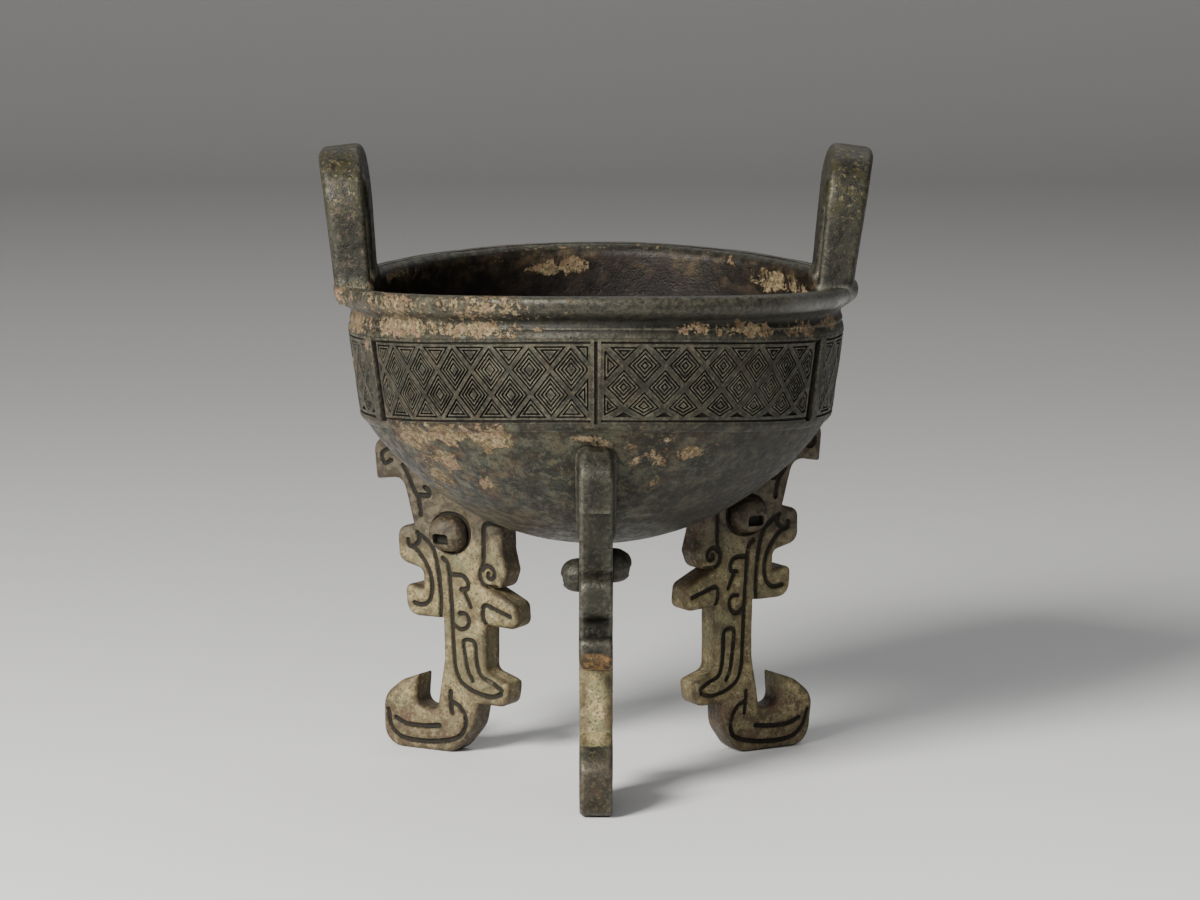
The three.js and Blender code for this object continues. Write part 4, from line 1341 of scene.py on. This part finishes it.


# The bronze's colours, with painted shade and painted highlights among them
def patina():
    s = Shader("bronze_patina_and_painted_light")
    broad = s.noise(38.0, 3.0)
    cloudy = s.noise(120.0, 5.0, 0.6)
    mottled = s.noise(300.0, 6.0, 0.68)
    fine = s.noise(1100.0, 5.0, 0.7)
    grit = s.noise(2600.0, 2.0, 0.5)
    flaky = s.noise(640.0, 5.0, 0.7)
    carved, edge, hollow = s.mask("carved"), s.mask("edge"), s.mask("hollow")
    loop, top = s.mask("loop"), s.mask("top")

    # Dark green-brown bronze, cloudy and speckled
    colour = s.blend(s.step(broad, 0.42, 0.58), (42, 36, 27), (50, 53, 45))
    colour = s.layers(colour, [
        (cloudy, 0.5, 0.6, 0.8, (80, 80, 64)),
        (cloudy, 0.47, 0.38, 0.75, (22, 23, 18)),
        (mottled, 0.5, 0.58, 0.6, (24, 22, 17)),
        (mottled, 0.45, 0.38, 0.55, (98, 92, 70)),
        (flaky, 0.56, 0.63, 0.5, (108, 98, 74)),
        (fine, 0.45, 0.36, 0.6, (16, 15, 12)),
    ])
    rusty = s.times(s.step(s.noise(170.0, 8.0, 0.7, 0.5), 0.5, 0.58), s.mask("rust"))
    rust = s.blend(s.step(mottled, 0.44, 0.58), (92, 74, 50), (60, 42, 28))
    colour = s.blend(rusty, colour, rust)
    # Dark bronze where the patina is dark, and painted shade on the right side of the bowl, band and neck
    dark_bronze_and_painted_shade = s.blend(s.step(mottled, 0.42, 0.56), (12, 12, 9), (36, 35, 27))
    dark_bronze_and_painted_shade = s.blend(s.times(s.step(flaky, 0.54, 0.63), 0.4), dark_bronze_and_painted_shade, (64, 60, 46))
    colour = s.blend(s.times(s.mask("dark_patina_and_painted_shade"), 0.9), colour, dark_bronze_and_painted_shade)
    # Paler, shinier edges and ridges: partly wear, partly painted highlights
    wear_and_painted_highlight = s.times(edge, s.step(flaky, 0.38, 0.56, 0.2, 1.0))
    colour = s.blend(s.times(wear_and_painted_highlight, 0.6), colour, (156, 152, 132))
    # A painted silvery highlight on the lip's right end, also glossier and more metallic there
    painted_glint = s.times(s.mask("painted_glint"), s.step(s.noise(90.0, 3.0), 0.4, 0.6, 0.4, 1.0))
    colour = s.blend(s.times(painted_glint, 0.8), colour, (168, 168, 164))

    mossy = s.times(top, s.step(s.noise(260.0, 6.0, 0.7), 0.46, 0.58))
    colour = s.blend(s.times(mossy, 0.7), colour, (56, 54, 32))
    colour = s.blend(s.times(s.times(top, s.step(flaky, 0.57, 0.63)), 0.6), colour, (112, 102, 70))
    rosy = s.times(loop, s.step(s.noise(480.0, 5.0, 0.7), 0.54, 0.63))
    colour = s.blend(s.times(rosy, 0.35), colour, (96, 80, 68))

    # Pale earthy patina of the two rear legs
    cream = s.blend(s.step(cloudy, 0.42, 0.58), (158, 142, 100), (128, 120, 84))
    cream = s.layers(cream, [
        (mottled, 0.5, 0.6, 0.7, (104, 90, 64)),
        (flaky, 0.53, 0.62, 0.6, (188, 176, 140)),
    ])
    olive = s.times(s.step(s.noise(85.0, 4.0, 0.6), 0.48, 0.6), 0.75)
    cream = s.blend(olive, cream, (108, 108, 78))
    cream = s.blend(s.times(s.step(fine, 0.47, 0.4), 0.8), cream, (58, 48, 34))
    stained = s.times(s.mask("halo"), s.step(mottled, 0.38, 0.54, 0.4, 0.95))
    stain = s.blend(s.step(cloudy, 0.44, 0.58), (66, 56, 38), (90, 78, 54))
    cream = s.blend(stained, cream, stain)
    dusk = s.blend(s.step(mottled, 0.42, 0.58), (76, 68, 56), (46, 40, 33))
    cream = s.blend(s.times(s.mask("dusky"), 0.85), cream, dusk)
    pale = s.mask("pale")
    pale_share = s.step(s.plus(s.times(pale, 0.75), s.times(mottled, 0.5)), 0.5, 0.68)
    pale_share = s.times(pale_share, s.step(pale, 0.02, 0.2))
    colour = s.blend(pale_share, colour, cream)
    amber = s.blend(s.step(mottled, 0.42, 0.58), (134, 104, 64), (62, 50, 34))
    colour = s.blend(s.times(s.mask("ochre"), 0.9), colour, amber)
    brown = s.blend(s.step(cloudy, 0.42, 0.6), (52, 44, 34), (92, 72, 54))
    brown = s.blend(s.times(s.step(flaky, 0.54, 0.62), 0.6), brown, (140, 124, 94))
    colour = s.blend(s.times(s.mask("edge_band"), 0.8), colour, brown)
    plum = s.blend(s.step(cloudy, 0.45, 0.6), (70, 60, 44), (84, 64, 50))
    plum = s.blend(s.times(s.step(flaky, 0.52, 0.6), 0.55), plum, (120, 106, 78))
    foot_share = s.times(s.mask("foot"), s.step(mottled, 0.43, 0.55, 0.25, 0.9))
    colour = s.blend(foot_share, colour, plum)

    # Earthy crusts: large flakes on the bowl, a fine sprinkling on lip and neck
    crust = s.mask("crust")
    large = s.plus(s.times(s.noise(110.0, 9.0, 0.72, 0.6), 0.7), s.times(mottled, 0.2))
    large = s.plus(large, s.times(fine, 0.1))
    small = s.plus(s.times(mottled, 0.45), s.times(flaky, 0.35))
    small = s.plus(small, s.times(s.noise(190.0, 4.0, 0.6), 0.2))
    spread = s.node("ShaderNodeMix", {0: s.mask("sprinkled"), 2: large, 3: small}, data_type="FLOAT")
    crusty = s.plus(s.times(crust, 0.36), s.times(spread.outputs[0], 1.3))
    crusty = s.step(crusty, 0.84, 0.88)
    crusty = s.times(crusty, s.step(crust, 0.04, 0.25))
    earth = s.blend(s.step(flaky, 0.42, 0.58), (98, 84, 58), (146, 130, 98))
    earth = s.layers(earth, [
        (mottled, 0.5, 0.6, 0.8, (96, 74, 50)),
        (s.noise(230.0, 4.0, 0.6), 0.5, 0.62, 0.7, (132, 104, 84)),
        (s.noise(800.0, 5.0, 0.7), 0.54, 0.62, 0.8, (60, 60, 42)),
        (fine, 0.46, 0.36, 0.8, (40, 36, 26)),
    ])
    colour = s.blend(s.times(crusty, 0.9), colour, earth)

    inside = s.mask("inside")
    dark_inside = s.blend(s.step(cloudy, 0.42, 0.62), (24, 19, 16), (42, 34, 28))
    mould = s.blend(s.step(mottled, 0.44, 0.58), (46, 44, 28), (84, 68, 48))
    moist = s.times(s.mask("shoulder"), s.step(cloudy, 0.46, 0.6, 0.15, 0.75))
    dark_inside = s.blend(moist, dark_inside, mould)
    inner = s.blend(s.times(crusty, 0.92), dark_inside, earth)
    colour = s.blend(inside, colour, inner)

    # Darker colour in carved lines and concave places, broken up by noise
    recess_dark = s.blend(s.step(mottled, 0.45, 0.6), (17, 16, 14), (38, 34, 27))
    depth = s.plus(s.step(carved, 0.25, 0.8), s.times(hollow, 0.5), True)
    recess_dark_break = s.step(s.noise(160.0, 3.0), 0.62, 0.72, 1.0, 0.6)
    colour = s.blend(s.times(s.times(depth, 0.94), recess_dark_break), colour, recess_dark)

    rough = s.step(mottled, 0.35, 0.65, 0.34, 0.56)
    rough = s.plus(rough, s.times(crusty, 0.3))
    rough = s.plus(rough, s.times(pale_share, 0.16))
    rough = s.plus(rough, s.times(depth, 0.2))
    rough = s.plus(rough, s.times(s.plus(wear_and_painted_highlight, painted_glint, True), -0.14), True)

    height = s.plus(s.times(mottled, 0.5), s.times(fine, 0.35))
    height = s.plus(height, s.times(crusty, s.plus(0.25, s.times(fine, 0.7))))
    height = s.plus(height, s.times(grit, 0.12))
    pitted = s.step(s.cells(420.0), 0.05, 0.2)
    height = s.plus(height, s.times(pitted, 0.18))
    bump = s.node("ShaderNodeBump", {"Strength": BUMP_STRENGTH, "Distance": BUMP_HEIGHT, "Height": height})

    shine = s.plus(s.times(s.plus(wear_and_painted_highlight, painted_glint, True), 0.55), 0.3)
    bare = s.math("SUBTRACT", 1.0, s.math("MAXIMUM", crusty, pale_share))
    return s.finished(s.node("ShaderNodeBsdfPrincipled", {
        "Base Color": colour, "Roughness": rough, "Metallic": s.times(bare, shine),
        "Specular IOR Level": BRONZE_GLOSS, "Normal": bump.outputs["Normal"]}))


mesh.materials.clear()
mesh.materials.append(patina())
for polygon in mesh.polygons:
    polygon.material_index = 0
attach(vessel, "root")
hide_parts("ding_vessel")


# Floor, backdrop, light and camera, in metres

# The floor's colour fades from pale near the camera to grey towards the backdrop: painted fall-off of the
# light
PAINTED_FLOOR_FALLOFF = (-0.6, 1.1)
FLOOR_NEAR = (250, 250, 249)
FLOOR_FAR = (182, 181, 179)
FLOOR_FRONT = -4.0
FLOOR_HALF = 5.0
BEND_START = 2.2
BEND_RADIUS = 1.2
BACKDROP_TOP = 6.0
SENSOR = 36.0
LENS = 140.91
CAMERA_PLACE = (0.0013, -1.54787, 0.33630)
CAMERA_TILT = 81.601
SKY = (0.72, 0.74, 0.77, 1.0)
SKY_STRENGTH = 0.2

# Each light: its name, place, what it points at, size, power and colour
LIGHTS = [
    ("key", (-1.2, -1.5, 1.15), (0, 0, 0.1), (0.7, 0.7), 94.0, (1.0, 0.985, 0.96)),
    ("floor_light", (0, -1.3, 0.75), (0, -0.85, 0), (1.6, 0.5), 5.0, (1, 1, 1)),
    ("back", (0.3, 1.0, 1.3), (0, 0, 0.15), (1.4, 0.5), 5.0, (1, 1, 1)),
]


def floor_look():
    """A matt grey, paler near the camera than at the backdrop: the light's fall-off is painted into it."""
    s = Shader("floor_grey")
    axes = s.node("ShaderNodeSeparateXYZ", {0: s.place})
    share = s.step(axes.outputs["Y"], *PAINTED_FLOOR_FALLOFF)
    return s.finished(s.node("ShaderNodeBsdfPrincipled", {
        "Base Color": s.blend(share, FLOOR_NEAR, FLOOR_FAR), "Roughness": 0.9, "Specular IOR Level": 0.1}))


def sweep():
    """A floor that curves up into a backdrop far behind the object."""
    line = [(FLOOR_FRONT, 0.0), (BEND_START, 0.0)]
    line += [(BEND_START + BEND_RADIUS * math.sin(a), BEND_RADIUS - BEND_RADIUS * math.cos(a))
             for a in np.linspace(0.1, math.pi / 2, 16)]
    line += [(BEND_START + BEND_RADIUS, BACKDROP_TOP)]
    points = [(side * FLOOR_HALF, y, z) for y, z in line for side in (-1, 1)]
    faces = [(2 * k, 2 * k + 1, 2 * k + 3, 2 * k + 2) for k in range(len(line) - 1)]
    made = object_from("floor", [(px / MM, py / MM, pz / MM) for px, py, pz in points], faces)
    for polygon in made.data.polygons:
        polygon.use_smooth = True
    made.data.materials.append(floor_look())
    return made


sweep()


def area_light(name, place, target, size, power, colour):
    data = bpy.data.lights.new(name, "AREA")
    data.shape = "RECTANGLE"
    data.size, data.size_y = size
    data.energy = power
    data.color = colour
    made = bpy.data.objects.new(name, data)
    made.location = place
    made.rotation_euler = (Vector(target) - Vector(place)).to_track_quat("-Z", "Y").to_euler()
    bpy.context.scene.collection.objects.link(made)


for light in LIGHTS:
    area_light(*light)

world = bpy.data.worlds.new("studio")
bpy.context.scene.world = world
world.use_nodes = True
world.node_tree.nodes["Background"].inputs["Color"].default_value = SKY
world.node_tree.nodes["Background"].inputs["Strength"].default_value = SKY_STRENGTH

camera_data = bpy.data.cameras.new("camera")
camera_data.sensor_fit = "HORIZONTAL"
camera_data.sensor_width = SENSOR
camera_data.lens = LENS
camera_data.clip_end = 50.0
camera = bpy.data.objects.new("camera", camera_data)
camera.location = CAMERA_PLACE
camera.rotation_euler = (math.radians(CAMERA_TILT), 0.0, 0.0)
bpy.context.scene.collection.objects.link(camera)
bpy.context.scene.camera = camera
